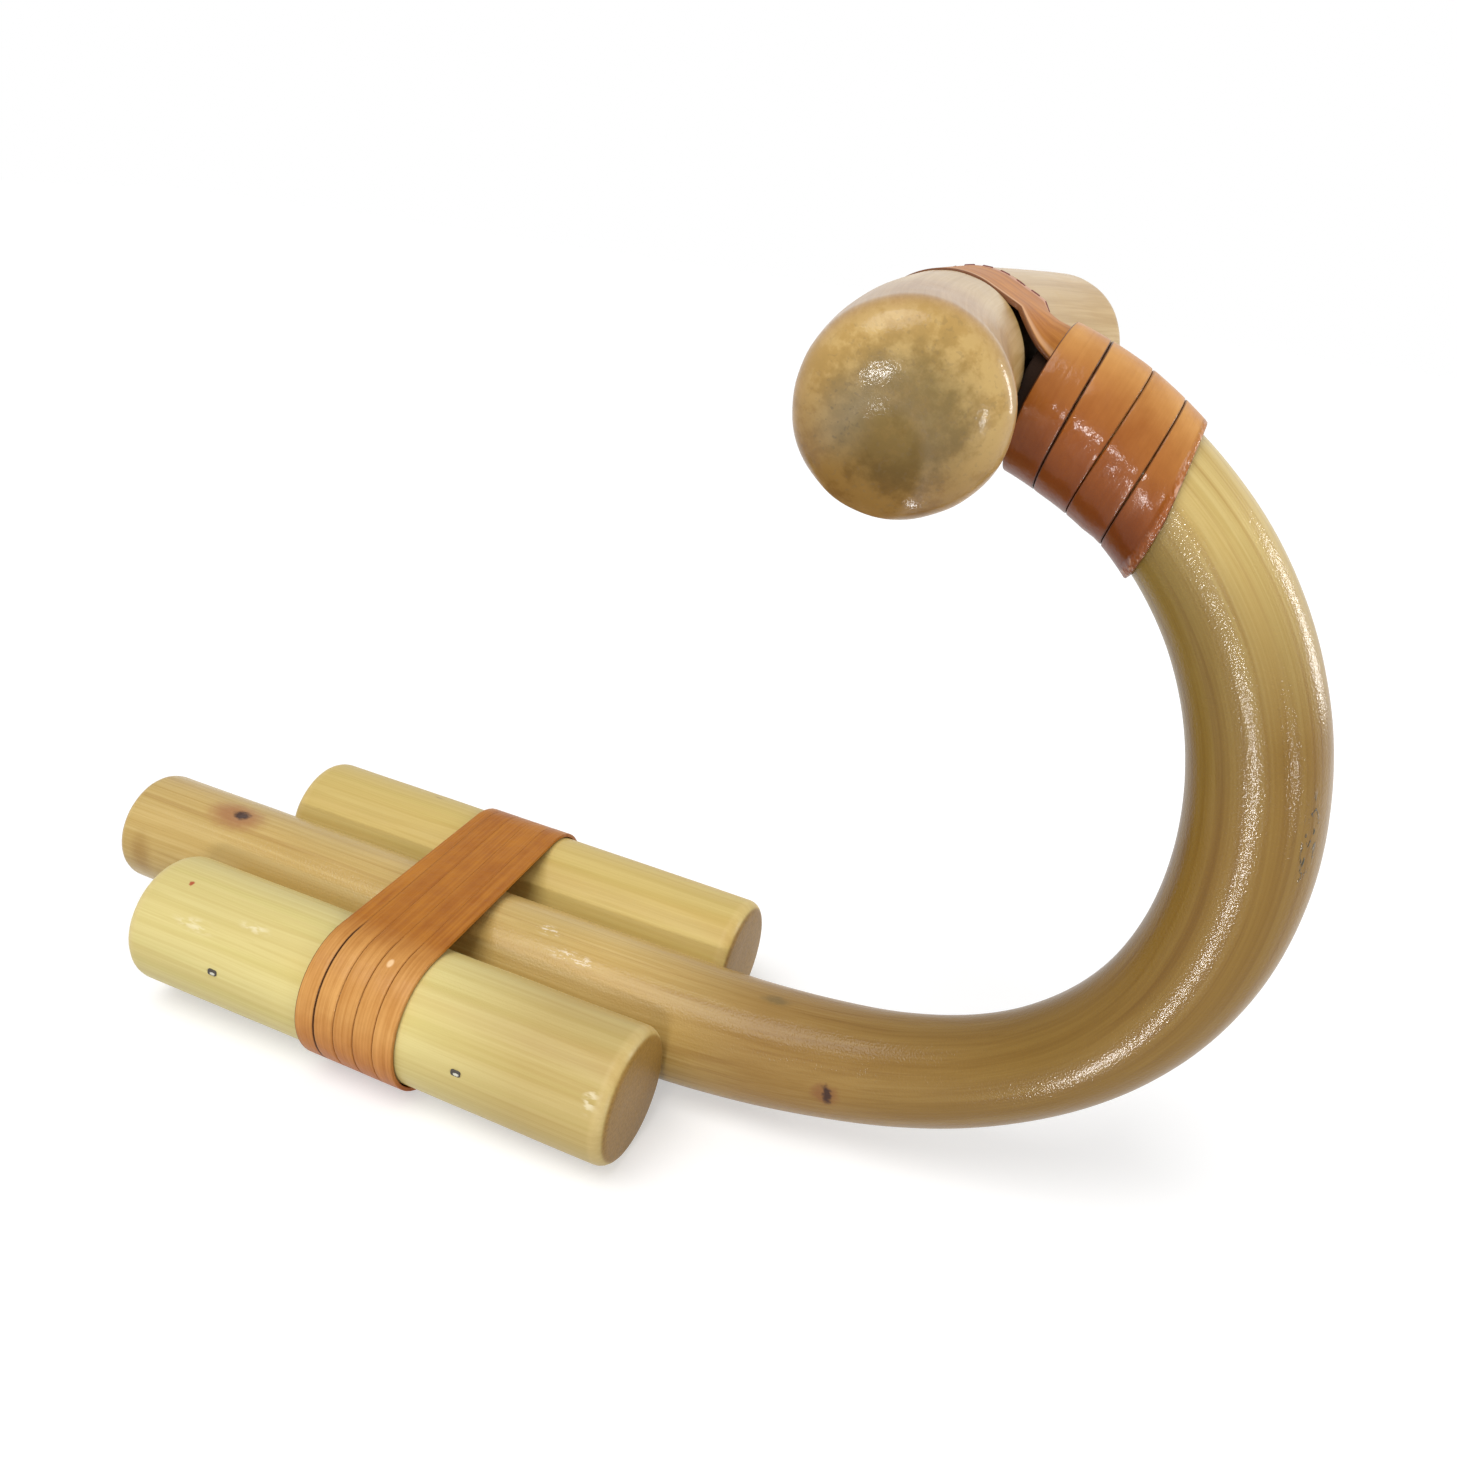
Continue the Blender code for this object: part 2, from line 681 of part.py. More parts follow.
def tack_sections(length, clearance=0.0, sunk=False):
    """A round shank under a low head; with a clearance, the hole for it."""
    shank = TACK_SHANK_RADIUS + clearance
    head = TACK_HEAD_RADIUS + clearance
    if not clearance:
        crown = FLUSH_TACK_CROWN if sunk else DOMED_TACK_CROWN
        thickness = FLUSH_TACK_HEAD_THICKNESS if sunk else DOMED_TACK_HEAD_THICKNESS
        return turned_sections(
            [
                (-length, POINT_TIP * shank),
                (POINT_LENGTH * shank - length, shank),
                (0.0, shank),
                (0.0, head),
                (thickness / 2, head),
                (thickness, head * crown),
            ],
            FASTENER_SIDES,
        )
    hole = [(-length - clearance, shank)]
    if sunk:
        hole += [(-clearance, shank), (-clearance, head), (CUTTER_OVERRUN, head)]
    else:
        hole.append((CUTTER_OVERRUN, shank))
    return turned_sections(hole, FASTENER_SIDES)


def make_brads(root, stem, roll, side, label):
    """The brads of one side roll, set a little proud in pockets in its outer side."""
    head_seat = ROLL_RADIUS + BRAD_HEAD_PROUD - BRAD_HEAD_THICKNESS
    out = Vector((0, side * math.cos(BRAD_RISE), math.sin(BRAD_RISE)))
    for count, from_end in enumerate(BRADS_FROM_ROLL_END, start=1):
        x = roll_start(side) + from_end
        length = head_seat + ROLL_AXIS_Y - cane_radius(x) + BRAD_IN_STEM
        point = Vector((x, side * ROLL_AXIS_Y, 0)) + out * head_seat
        place = facing(point, out, Vector((1, 0, 0)))
        name = f"{label}_brad_{count}"
        add_piece(name, swept_mesh(name, brad_sections(length)), "steel", root, place)
        cut([stem, roll], f"{name}_hole", brad_sections(length, GAP), place)


def make_strap_tacks(root, stem, strap):
    """One tack through each tail into the stem, with its head flush under the lashing."""
    distance = STEM_LENGTH - STRAP_TACK_FROM_TIP
    centre, along, outward = stem_frame(distance)
    face = cane_radius(distance) + GAP + strap_thickness(distance)
    for name, side in (("outer_strap_tack", 1), ("inner_strap_tack", -1)):
        point = centre + outward * side * (face - FLUSH_TACK_HEAD_THICKNESS)
        place = facing(point, outward * side, along)
        mesh = swept_mesh(name, tack_sections(TACK_GRIP, sunk=True))
        add_piece(name, mesh, "steel", root, place)
        hole = tack_sections(TACK_GRIP, GAP, sunk=True)
        cut([stem, strap], f"{name}_hole", hole, place)


def make_strip_tacks(root, label, surface, turns, loop, thickness, strip, backing):
    """A tack through the middle of each half-wide end of a wound strip, into what it is wound on."""
    inset = TACK_FROM_STRIP_END / loop
    aside = 0.25 / turns
    ends = (("start", inset, aside), ("end", turns - inset, 1.0 - aside))
    for end, turn, share in ends:
        point, out = surface(share, turn)
        seat = point + out * (thickness + GAP)
        place = facing(seat, out, Vector((1, 0, 0)))
        name = f"{label}_{end}_tack"
        mesh = swept_mesh(name, tack_sections(TACK_GRIP + thickness))
        add_piece(name, mesh, "steel", root, place)
        hole = tack_sections(TACK_GRIP + thickness, GAP)
        cut([strip, backing], f"{name}_hole", hole, place)


def set_down(root, pieces):
    """Tilts the whole onto the foot lashing's edge and the side rolls' ends, and centres it."""
    lashing_edge = foot_lashing_start() + FOOT_LASHING_WIDTH
    roll_end = roll_start(-1) + roll_length(-1) - ROLL_EDGE_ROUNDING
    tilt = math.atan2(FOOT_LASHING_THICKNESS + GAP, roll_end - lashing_edge)
    turn = Matrix.Rotation(tilt, 4, "Y")
    corners = np.array(
        [
            turn @ piece.matrix_basis @ vertex.co
            for piece in pieces
            for vertex in piece.data.vertices
        ]
    )
    low, high = corners.min(axis=0), corners.max(axis=0)
    root.location = (-(low[0] + high[0]) / 2, -(low[1] + high[1]) / 2, -low[2])
    root.rotation_euler = (0, tilt, 0)


def main():
    clear_scene()
    root = bpy.data.objects.new("yoke_hook", None)
    bpy.context.collection.objects.link(root)
    stem = make_stem(root)
    near_roll = make_side_roll("near_side_roll", -1, root)
    far_roll = make_side_roll("far_side_roll", 1, root)
    cross_roll = make_cross_roll(root)
    make_dowel(root, stem, cross_roll)
    strap = make_strap(root)
    foot_lashing = make_foot_lashing(root)
    head_lashing = make_head_lashing(root)
    make_brads(root, stem, near_roll, -1, "near_roll")
    make_brads(root, stem, far_roll, 1, "far_roll")
    make_strap_tacks(root, stem, strap)
    foot_loop = 2 * math.pi * (ROLL_RADIUS + GAP) + 4 * ROLL_AXIS_Y
    make_strip_tacks(
        root,
        "foot_lashing",
        foot_lashing_surface,
        FOOT_LASHING_TURNS,
        foot_loop,
        FOOT_LASHING_THICKNESS,
        foot_lashing,
        far_roll,
    )
    head_loop = 2 * math.pi * under_head_lashing(STEM_LENGTH)
    make_strip_tacks(
        root,
        "head_lashing",
        head_lashing_surface,
        HEAD_LASHING_TURNS,
        head_loop,
        HEAD_LASHING_THICKNESS,
        head_lashing,
        stem,
    )
    set_down(root, [child for child in root.children if not child.hide_render])


main()
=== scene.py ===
"""Finished look of the bent cane yoke hook: its canes, leather strips, nails, stage and camera.

Lengths are in metres and angles in radians. Each piece is first made straight, as it would be cut:
a cane lies along X with +Z towards the crook's inner side, and a leather strip lies along X with its
wearing side up. Its straight coordinates are kept in an attribute, which the materials read, and
then the piece is bent, wound or laid to its place in the frame.
"""

import json
import math
from functools import cached_property

import bmesh
import bpy
import numpy as np
from bpy.props import FloatProperty, FloatVectorProperty, IntProperty, PointerProperty
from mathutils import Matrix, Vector, noise


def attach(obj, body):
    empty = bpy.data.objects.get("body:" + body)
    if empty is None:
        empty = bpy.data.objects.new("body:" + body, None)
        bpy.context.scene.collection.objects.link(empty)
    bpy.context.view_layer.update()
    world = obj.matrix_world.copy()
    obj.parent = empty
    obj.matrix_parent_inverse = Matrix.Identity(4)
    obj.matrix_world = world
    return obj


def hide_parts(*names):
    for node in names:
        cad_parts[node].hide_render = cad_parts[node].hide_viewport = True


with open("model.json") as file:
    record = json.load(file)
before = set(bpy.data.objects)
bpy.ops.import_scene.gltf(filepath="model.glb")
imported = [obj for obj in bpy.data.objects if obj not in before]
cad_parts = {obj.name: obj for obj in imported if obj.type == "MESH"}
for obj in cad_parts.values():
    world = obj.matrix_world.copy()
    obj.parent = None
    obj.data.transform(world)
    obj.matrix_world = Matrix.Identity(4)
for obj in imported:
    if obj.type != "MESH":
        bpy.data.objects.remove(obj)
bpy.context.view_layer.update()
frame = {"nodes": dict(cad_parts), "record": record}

bl_info = {
    "name": "Bent Cane Yoke Hook",
    "version": (1, 0, 0),
    "blender": (4, 5, 0),
    "location": "3D Viewport > Sidebar > Yoke Hook",
    "description": "Models the canes, lashings and nails of a bent cane yoke hook",
    "category": "Add Mesh",
}

BODY = "root"
STRAIGHT = "straight"
TURN = 2 * math.pi

# How finely the canes are made: sides round them, and lengths between their rings.
CANE_SIDES = 64
STEM_RING_STEP = 0.00125
ROLL_RING_STEP = 0.0025
CROSS_ROLL_SIDES = 96
CROSS_ROLL_RINGS = 36
DOME_RINGS = 24

# The strap's stitches, and how far they sink into it.
THREAD_RADIUS = 0.00028
STITCH_SINK = 0.00002

# The gaps between each lashing's turns, the part of a turn over which a closed gap opens, and the
# part of the lashing's width, at each side, that keeps its round edge where the gaps are closed.
FOOT_SEAM = 0.00006
HEAD_SEAM = 0.00014
SEAM_OPENING = 0.03
FREE_EDGE = 0.02

# A brad's head: its depth, its corners, its hammered edge, and how far it stands proud of the roll.
BRAD_DEPTH = 0.0012
BRAD_CORNER = 0.0006
BRAD_EDGE = 0.0003
BRAD_PROUD = 0.0002

# A tack: the upright rim of its head, the dome above that, and the shank below.
TACK_RIM = 0.0002
TACK_DOME = 0.0006
SHANK_DEPTH = 0.0010
SHANK_RADIUS = 0.0006

# Lamps that face the crook: name, place, size and brightness.
CROOK = (0.12, 0.0, 0.18)
SOFT_BOXES = (
    ("front_light", (0.11, -0.80, 0.27), (0.17, 0.04), 85.0),
    ("right_light", (0.80, 0.45, 0.35), (0.12, 0.40), 20.0),
    ("edge_light", (0.83, -0.38, 0.07), (0.035, 0.14), 60.0),
)

# Strips of light on the floor in front: middle and size, for a glint along the crook's near side.
GLINT_STRIPS = (
    ((0.132, -0.145), (0.008, 0.14)),
    ((0.148, -0.310), (0.016, 0.19)),
    ((0.163, -0.600), (0.035, 0.39)),
)
GLINT_HEIGHT = 0.003
GLINT_BRIGHTNESS = 75.0


# The frame's mounts give the places of the canes' ends.


def mount(name):
    """A mount's point and its outward direction."""
    found = next(item for item in frame["record"]["mounts"] if item["name"] == name)
    return Vector(found["pos_m"]), Vector(found["axis"])


def roll_length(side):
    """From a side roll's foot end to its crook end."""
    return (mount(f"{side}_roll_crook_face")[0] - mount(f"{side}_roll_foot_face")[0]).length


# Settings.


def length(name, description, default):
    return FloatProperty(name=name, description=description, default=default, min=0.0, unit="LENGTH")


def turned(name, description, default):
    return FloatProperty(name=name, description=description, default=default, unit="ROTATION")


def count(name, description, default):
    return IntProperty(name=name, description=description, default=default, min=1)


def position(name, description, default):
    return FloatVectorProperty(
        name=name, description=description, default=default, subtype="TRANSLATION", unit="LENGTH"
    )


def colour(name, description, default):
    return FloatVectorProperty(
        name=name, description=description, default=default, size=3, min=0.0, max=1.0, subtype="COLOR"
    )


class StemSizes(bpy.types.PropertyGroup):
    """The bent stem, measured along its axis from the foot end."""

    length: length("Length", "Length along the bent axis", 0.4998)
    foot_run: length("Foot run", "Straight length at the foot", 0.144)
    ease_run: length("Ease run", "Length over which the bend begins", 0.0865)
    bend_step: length("Bend step", "Distance between the places where the bend changes", 0.0494)
    ease_bend: length("Ease bend", "Bend radius after the ease run", 0.256)
    heel_bend: length("Heel bend", "Bend radius one step on", 0.1015)
    tight_bend: length("Tight bend", "Bend radius two steps on", 0.0732)
    crook_bend: length("Crook bend", "Bend radius three steps on", 0.1082)
    tip_bend: length("Tip bend", "Bend radius at the tip", 0.0890)
    foot_radius: length("Foot radius", "Cane radius at the foot end", 0.0175)
    swell_radius: length("Swell radius", "Cane radius where it swells", 0.0179)
    tight_radius: length("Tight radius", "Cane radius in the tight bend", 0.0142)
    crook_radius: length("Crook radius", "Cane radius past the tight bend", 0.0154)
    tip_radius: length("Tip radius", "Cane radius at the tip", 0.0140)
    swell_start: length("Swell start", "Where the swell begins", 0.129)
    swell_length: length("Swell length", "How long the swell is", 0.0515)
    tight_at: length("Tight place", "Where the cane is thinnest", 0.2965)
    crook_at: length("Crook place", "Where the cane is thicker again", 0.379)
    edge: length("Edge", "Rounding of the foot end's edge", 0.0025)
    tip_edge: length("Tip edge", "Rounding of the tip's edge", 0.0008)


class RollSizes(bpy.types.PropertyGroup):
    """The two straight rolls along the foot."""

    radius: length("Radius", "Radius of both rolls", 0.01905)
    near_length: length("Near length", "Length of the near roll", roll_length("near"))
    far_length: length("Far length", "Length of the far roll", roll_length("far"))
    edge: length("Edge", "Rounding of the ends' edges", 0.0038)


class CrossRollSizes(bpy.types.PropertyGroup):
    """The arched roll across the stem's tip."""

    radius: length("Radius", "Radius at the middle", 0.018)
    end_radius: length("End radius", "Radius towards the ends", 0.0194)
    half_length: length("Half length", "From the middle to each end", 0.0795)
    arch_radius: length("Arch radius", "Radius of the arched axis", 0.268)
    dome_depth: length("Dome depth", "Length of each domed end", 0.010)
    dome_power: FloatProperty(name="Dome power", description="Squareness of the domes", default=2.4, min=1.0)
    tip_gap: length("Tip gap", "Gap between the stem's tip and the roll", 0.0003)
    groove_depth: length("Groove depth", "Depth of the groove that the strap lies in", 0.0013)
    groove_half_width: length("Groove half width", "From the groove's middle to its sides", 0.0150)
    groove_side: length("Groove side", "Length over which the groove's sides rise", 0.0010)


class LashingSizes(bpy.types.PropertyGroup):
    """The strips wound round the foot and round the tip, and the strap over the cross roll."""

    gap: length("Gap", "Gap between a strip and what it lies on", 0.0003)
    foot_from_end: length("Foot lashing place", "From the near roll's foot end", 0.0593)
    foot_width: length("Foot lashing width", "Width of all its turns", 0.0315)
    foot_thickness: length("Foot strip thickness", "Thickness of the foot strip", 0.0011)
    foot_skew: turned("Foot lashing skew", "Angle from square across the foot", math.radians(3.4))
    foot_turns: count("Foot lashing turns", "How many times the strip goes round", 5)
    head_from_tip: length("Head lashing place", "From the stem's tip", 0.0030)
    head_length: length("Head lashing length", "Length of all its turns", 0.0378)
    head_slant: length("Head lashing slant", "How far the last turn slants", 0.0075)
    head_thickness: length("Head strip thickness", "Thickness of the head strip", 0.0012)
    head_turns: count("Head lashing turns", "How many times the strip goes round", 4)
    head_climb: length("Head lashing climb", "Length over which it rises onto the strap's tails", 0.006)
    strap_width: length("Strap width", "Width of the sling strap", 0.0288)
    strap_aside: length("Strap aside", "How far it lies from the middle, towards the far side", 0.0008)
    strap_thickness: length("Strap thickness", "Thickness of the sling strap", 0.0010)
    strap_end_thickness: length("Strap end thickness", "Thickness of its pared ends", 0.0004)
    strap_tail: length("Strap tail", "Length of each tail on the stem", 0.030)
    strap_skive: length("Strap skive", "Length of the paring", 0.013)
    strap_cup: length("Strap cup", "Length over which it flattens past the head lashing", 0.0095)
    stitch_spacing: length("Stitch spacing", "From one stitch to the next", 0.0040)
    stitch_length: length("Stitch length", "Length of a stitch", 0.0024)
    stitch_from_edge: length("Stitch line", "From the strap's edge to its stitches", 0.0015)


class FastenerSizes(bpy.types.PropertyGroup):
    """The brads through the side rolls and the tacks on the strips' ends."""

    brad_rise: turned("Brad rise", "Angle of the brads above the level", math.radians(8))
    brad_length: length("Brad head length", "Length of a brad's oblong head", 0.0030)
    brad_width: length("Brad head width", "Width of a brad's head", 0.0018)
    first_brad: length("First brad", "From the roll's foot end", 0.0322)
    second_brad: length("Second brad", "From the roll's foot end", 0.1116)
    tack_radius: length("Tack radius", "Radius of a tack's head", 0.0013)
    tack_from_end: length("Tack place", "From the strip's end", 0.003)


class Colours(bpy.types.PropertyGroup):
    """The finishes' main colours."""

    stem_foot: colour("Stem foot", "Cane of the foot", (0.59, 0.43, 0.165))
    stem_rise: colour("Stem rise", "Cane where the bend begins", (0.34, 0.205, 0.058))
    stem_bend: colour("Stem bend", "Cane of the bend", (0.25, 0.145, 0.026))
    # The inner side's colour holds painted shade, and the outer side's painted light and highlight.
    stem_inner_shaded: colour("Stem inner side", "Inner side of the crook", (0.285, 0.19, 0.045))
    stem_outer_lit: colour("Stem outer side", "Outer side of the crook near the tip", (0.62, 0.48, 0.195))
    near_roll: colour("Near roll", "Cane of the near roll", (0.68, 0.585, 0.252))
    far_roll: colour("Far roll", "Cane of the far roll", (0.62, 0.48, 0.175))
    ripe_roll: colour("Ripe roll", "Warmer cane at the near roll's crook end", (0.53, 0.41, 0.165))
    cross_side: colour("Cross roll side", "Cane of the cross roll's side", (0.58, 0.405, 0.180))
    cross_rim: colour("Cross roll rim", "Rim of the cross roll's ends", (0.54, 0.36, 0.13))
    cross_middle: colour("Cross roll middle", "Middle of the cross roll's ends", (0.215, 0.148, 0.048))
    end_grain: colour("End grain", "Cut ends of the canes", (0.32, 0.18, 0.04))
    leather_light: colour("Leather light", "Pale leather", (0.66, 0.31, 0.085))
    leather_dark: colour("Leather dark", "Dark leather", (0.42, 0.150, 0.026))
    strap: colour("Strap", "Leather of the strap", (0.53, 0.212, 0.040))
    strap_border: colour("Strap border", "The strap's border beyond its stitches", (0.60, 0.33, 0.22))
    thread: colour("Thread", "Stitches along the strap", (0.16, 0.055, 0.045))
    floor: colour("Floor", "The pale floor", (0.65, 0.65, 0.65))


class StageSettings(bpy.types.PropertyGroup):
    """The camera, the floor, the sky and the sun."""

    camera_place: position("Camera place", "Where the camera stands", (0.132679, -0.289200, 0.244031))
    camera_turn: FloatVectorProperty(
        name="Camera turn",
        description="The camera's rotation",
        default=tuple(math.radians(angle) for angle in (66.5990, -6.4028, 22.8829)),
        subtype="EULER",
        unit="ROTATION",
    )
    lens: FloatProperty(name="Lens", description="Focal length", default=32.12, min=1.0, unit="CAMERA")
    floor_size: length("Floor size", "Side of the square floor", 6.0)
    sky: FloatProperty(name="Sky", description="How strongly the sky lights", default=0.36, min=0.0)
    key_energy: FloatProperty(name="Sun", description="Strength of the sun", default=1.9, min=0.0)
    key_angle: turned("Sun angle", "How wide the sun is, which softens its shadows", math.radians(40))
    key_place: position("Sun place", "Where the sun shines from, towards the middle", (-0.15, -0.42, 0.89))


GROUPS = {
    "yoke_stem": StemSizes,
    "yoke_rolls": RollSizes,
    "yoke_cross_roll": CrossRollSizes,
    "yoke_lashings": LashingSizes,
    "yoke_fasteners": FastenerSizes,
    "yoke_colours": Colours,
    "yoke_stage": StageSettings,
}


# Material nodes.


def opaque(tone):
    """A colour with its alpha; a socket stays as it is."""
    return tone if isinstance(tone, bpy.types.NodeSocket) else (*tone, 1.0)


class Nodes:
    """Adds nodes to a tree; a value is a number, a colour or the socket to link from."""

    def __init__(self, tree):
        self.tree = tree

    def feed(self, socket, value):
        if isinstance(value, bpy.types.NodeSocket):
            self.tree.links.new(value, socket)
        else:
            socket.default_value = value

    def put(self, kind, inputs, **settings):
        node = self.tree.nodes.new(kind)
        for name, value in settings.items():
            setattr(node, name, value)
        for name, value in inputs.items():
            self.feed(node.inputs[name], value)
        return node

    def maths(self, operation, first, second=0.0):
        return self.put("ShaderNodeMath", {0: first, 1: second}, operation=operation).outputs[0]

    def times(self, first, second):
        return self.maths("MULTIPLY", first, second)

    def plus(self, first, second):
        return self.maths("ADD", first, second)

    def minus(self, first, second):
        return self.maths("SUBTRACT", first, second)

    def uneven(self, value, spread, least):
        """Values from the least up, as far as the spread says."""
        return self.plus(self.times(value, spread), least)

    def vectors(self, operation, inputs):
        return self.put("ShaderNodeVectorMath", inputs, operation=operation).outputs

    def between(self, value, low, high):
        """0 where the value is low, 1 where it is high, with a smooth change; low may be above high."""
        inputs = {"Value": value, "From Min": low, "From Max": high}
        settings = {"interpolation_type": "SMOOTHSTEP", "clamp": True}
        return self.put("ShaderNodeMapRange", inputs, **settings).outputs["Result"]

    def mix(self, factor, first, second, kind="MIX"):
        inputs = {0: factor, 6: opaque(first), 7: opaque(second)}
        return self.put("ShaderNodeMix", inputs, data_type="RGBA", blend_type=kind).outputs[2]

    def painted(self, base, tone, where, amount=1.0):
        """The base with a colour laid over it."""
        return self.mix(where if amount == 1.0 else self.times(where, amount), base, tone)

    def tinted(self, base, tint, where, amount=1.0):
        """The base multiplied by a tint."""
        return self.mix(where if amount == 1.0 else self.times(where, amount), base, tint, "MULTIPLY")

    def scaled(self, vector, scale, place=(0, 0, 0)):
        """The vector measured from a place and scaled."""
        offset = tuple(-along * factor for along, factor in zip(place, scale))
        inputs = {"Vector": vector, "Location": offset, "Scale": scale}
        return self.put("ShaderNodeMapping", inputs).outputs[0]

    def bump(self, height, distance, strength=1.0, under=None):
        inputs = {"Height": height, "Distance": distance, "Strength": strength}
        if under:
            inputs["Normal"] = under
        return self.put("ShaderNodeBump", inputs).outputs["Normal"]

    def shades(self, value, stops):
        """The colour at a value, blending from each (value, colour) stop to the next."""
        ramp = self.put("ShaderNodeValToRGB", {"Fac": value})
        elements = ramp.color_ramp.elements
        for element, (position, tone) in zip((elements[0], elements[1]), (stops[0], stops[-1])):
            element.position, element.color = position, (*tone, 1.0)
        for position, tone in stops[1:-1]:
            elements.new(position).color = (*tone, 1.0)
        return ramp.outputs["Color"]

    def own_place(self):
        """Coordinates on the object itself."""
        return self.put("ShaderNodeTexCoord", {}).outputs["Object"]


class Finish(Nodes):
    """A new material. Its patterns lie on the straight coordinates unless others are given."""

    def __init__(self, name):
        self.material = bpy.data.materials.new(name)
        self.material.use_nodes = True
        super().__init__(self.material.node_tree)
        self.shader = self.tree.nodes["Principled BSDF"]

    @cached_property
    def straight(self):
        settings = {"attribute_name": STRAIGHT, "attribute_type": "GEOMETRY"}
        return self.put("ShaderNodeAttribute", {}, **settings).outputs["Vector"]

    @cached_property
    def parts(self):
        """The straight coordinates apart: along, aside and up."""
        return self.put("ShaderNodeSeparateXYZ", {0: self.straight}).outputs

    def clouds(self, scale, detail=2.0, roughness=0.6, place=(0, 0, 0), vector=None):
        """Noise, with about as many cells in a metre each way as the scale says."""
        inputs = {"Vector": self.scaled(vector or self.straight, scale, place), "Scale": 1.0}
        inputs |= {"Detail": detail, "Roughness": roughness}
        return self.put("ShaderNodeTexNoise", inputs).outputs["Fac"]

    def shaken(self, scale, reach):
        """The straight coordinates led to and fro by a noise, up to half the reach."""
        inputs = {"Vector": self.scaled(self.straight, scale), "Scale": 1.0}
        drift = self.put("ShaderNodeTexNoise", inputs).outputs["Color"]
        centred = self.vectors("SUBTRACT", {0: drift, 1: (0.5, 0.5, 0.5)})[0]
        small = self.vectors("SCALE", {0: centred, "Scale": reach})[0]
        return self.vectors("ADD", {0: self.straight, 1: small})[0]

    def mark(self, place, size, soft=0.5, vector=None):
        """1 inside an ellipsoid about the place, fading to 0 at its surface."""
        inverse = tuple(1.0 / side for side in size)
        inside = self.scaled(vector or self.straight, inverse, place)
        away = self.vectors("LENGTH", {0: inside})["Value"]
        return self.between(away, 1.0, soft)

    def varnish(self, weight, roughness, level):
        """A clear coat, over a surface that reflects at a level of its own."""
        inputs = self.shader.inputs
        self.feed(inputs["Coat Weight"], weight)
        inputs["Coat Roughness"].default_value = roughness
        inputs["Coat IOR"].default_value = 1.5
        inputs["Specular IOR Level"].default_value = level

    def done(self, colour, roughness, normal, metallic=0.0):
        """Links what the surface looks like to its shader, and gives the material."""
        values = {"Base Color": colour, "Roughness": roughness, "Normal": normal}
        values |= {"Coat Normal": normal, "Metallic": metallic}
        for name, value in values.items():
            self.feed(self.shader.inputs[name], value)
        return self.material


def cane_grain(look, base, depth):
    """Varies the base by fine fibres, broader streaks and patches; also gives the fibres."""
    grain = look.shaken((14.0, 60.0, 60.0), 0.0025)
    fibres = look.clouds((9.0, 1700.0, 1700.0), vector=grain)
    streaks = look.clouds((5.0, 520.0, 520.0), 2.0, 0.5, vector=grain)
    bands = look.clouds((4.0, 150.0, 150.0), 1.0, 0.5, vector=grain)
    patches = look.clouds((18.0, 45.0, 45.0), 2.0, 0.5)
    for layer, low, high, part, tint in (
        (fibres, 0.64, 0.36, 0.80, (0.86, 0.80, 0.66)),
        (streaks, 0.62, 0.36, 0.90, (0.82, 0.75, 0.58)),
        (bands, 0.60, 0.40, 0.80, (0.88, 0.82, 0.70)),
        (patches, 0.40, 0.62, 0.70, (1.10, 1.07, 1.06)),
    ):
        base = look.tinted(base, tint, look.between(layer, low, high), part * depth)
    return base, fibres


def varnish_ripple(look, fibres, specks, under=None):
    """Uneven varnish over the fibres, which breaks a highlight into specks."""
    fine = look.clouds((1700.0, 1700.0, 1700.0), 1.0, 0.5)
    waves = look.clouds((60.0, 160.0, 160.0), 2.0, 0.5)
    lifted = look.bump(fibres, 0.00006, 0.5, under)
    lifted = look.bump(waves, 0.0005, 0.30, lifted)
    return look.bump(fine, 0.00009, specks, lifted)


def scuffs_and_glints(look, base, flecks, places):
    """Scuffs and painted glints, broken up into flecks; each is (place, size, softness, colour, amount)."""
    for place, size, soft, tone, amount in places:
        base = look.painted(base, tone, look.times(look.mark(place, size, soft), flecks), amount)
    return base


def knot(look, base, ragged, place, size, ring):
    """A knot: a dark eye in a brown ring, which fades into the cane."""
    base = look.painted(base, ring, look.mark(place, size, 0.3, ragged), 0.85)
    pupil = tuple(side * part for side, part in zip(size, (0.30, 0.32, 0.9)))
    shifted = (place[0] + size[0] * 0.1, place[1] + size[1] * 0.1, place[2])
    return look.painted(base, (0.055, 0.022, 0.012), look.mark(shifted, pupil, 0.4, ragged))


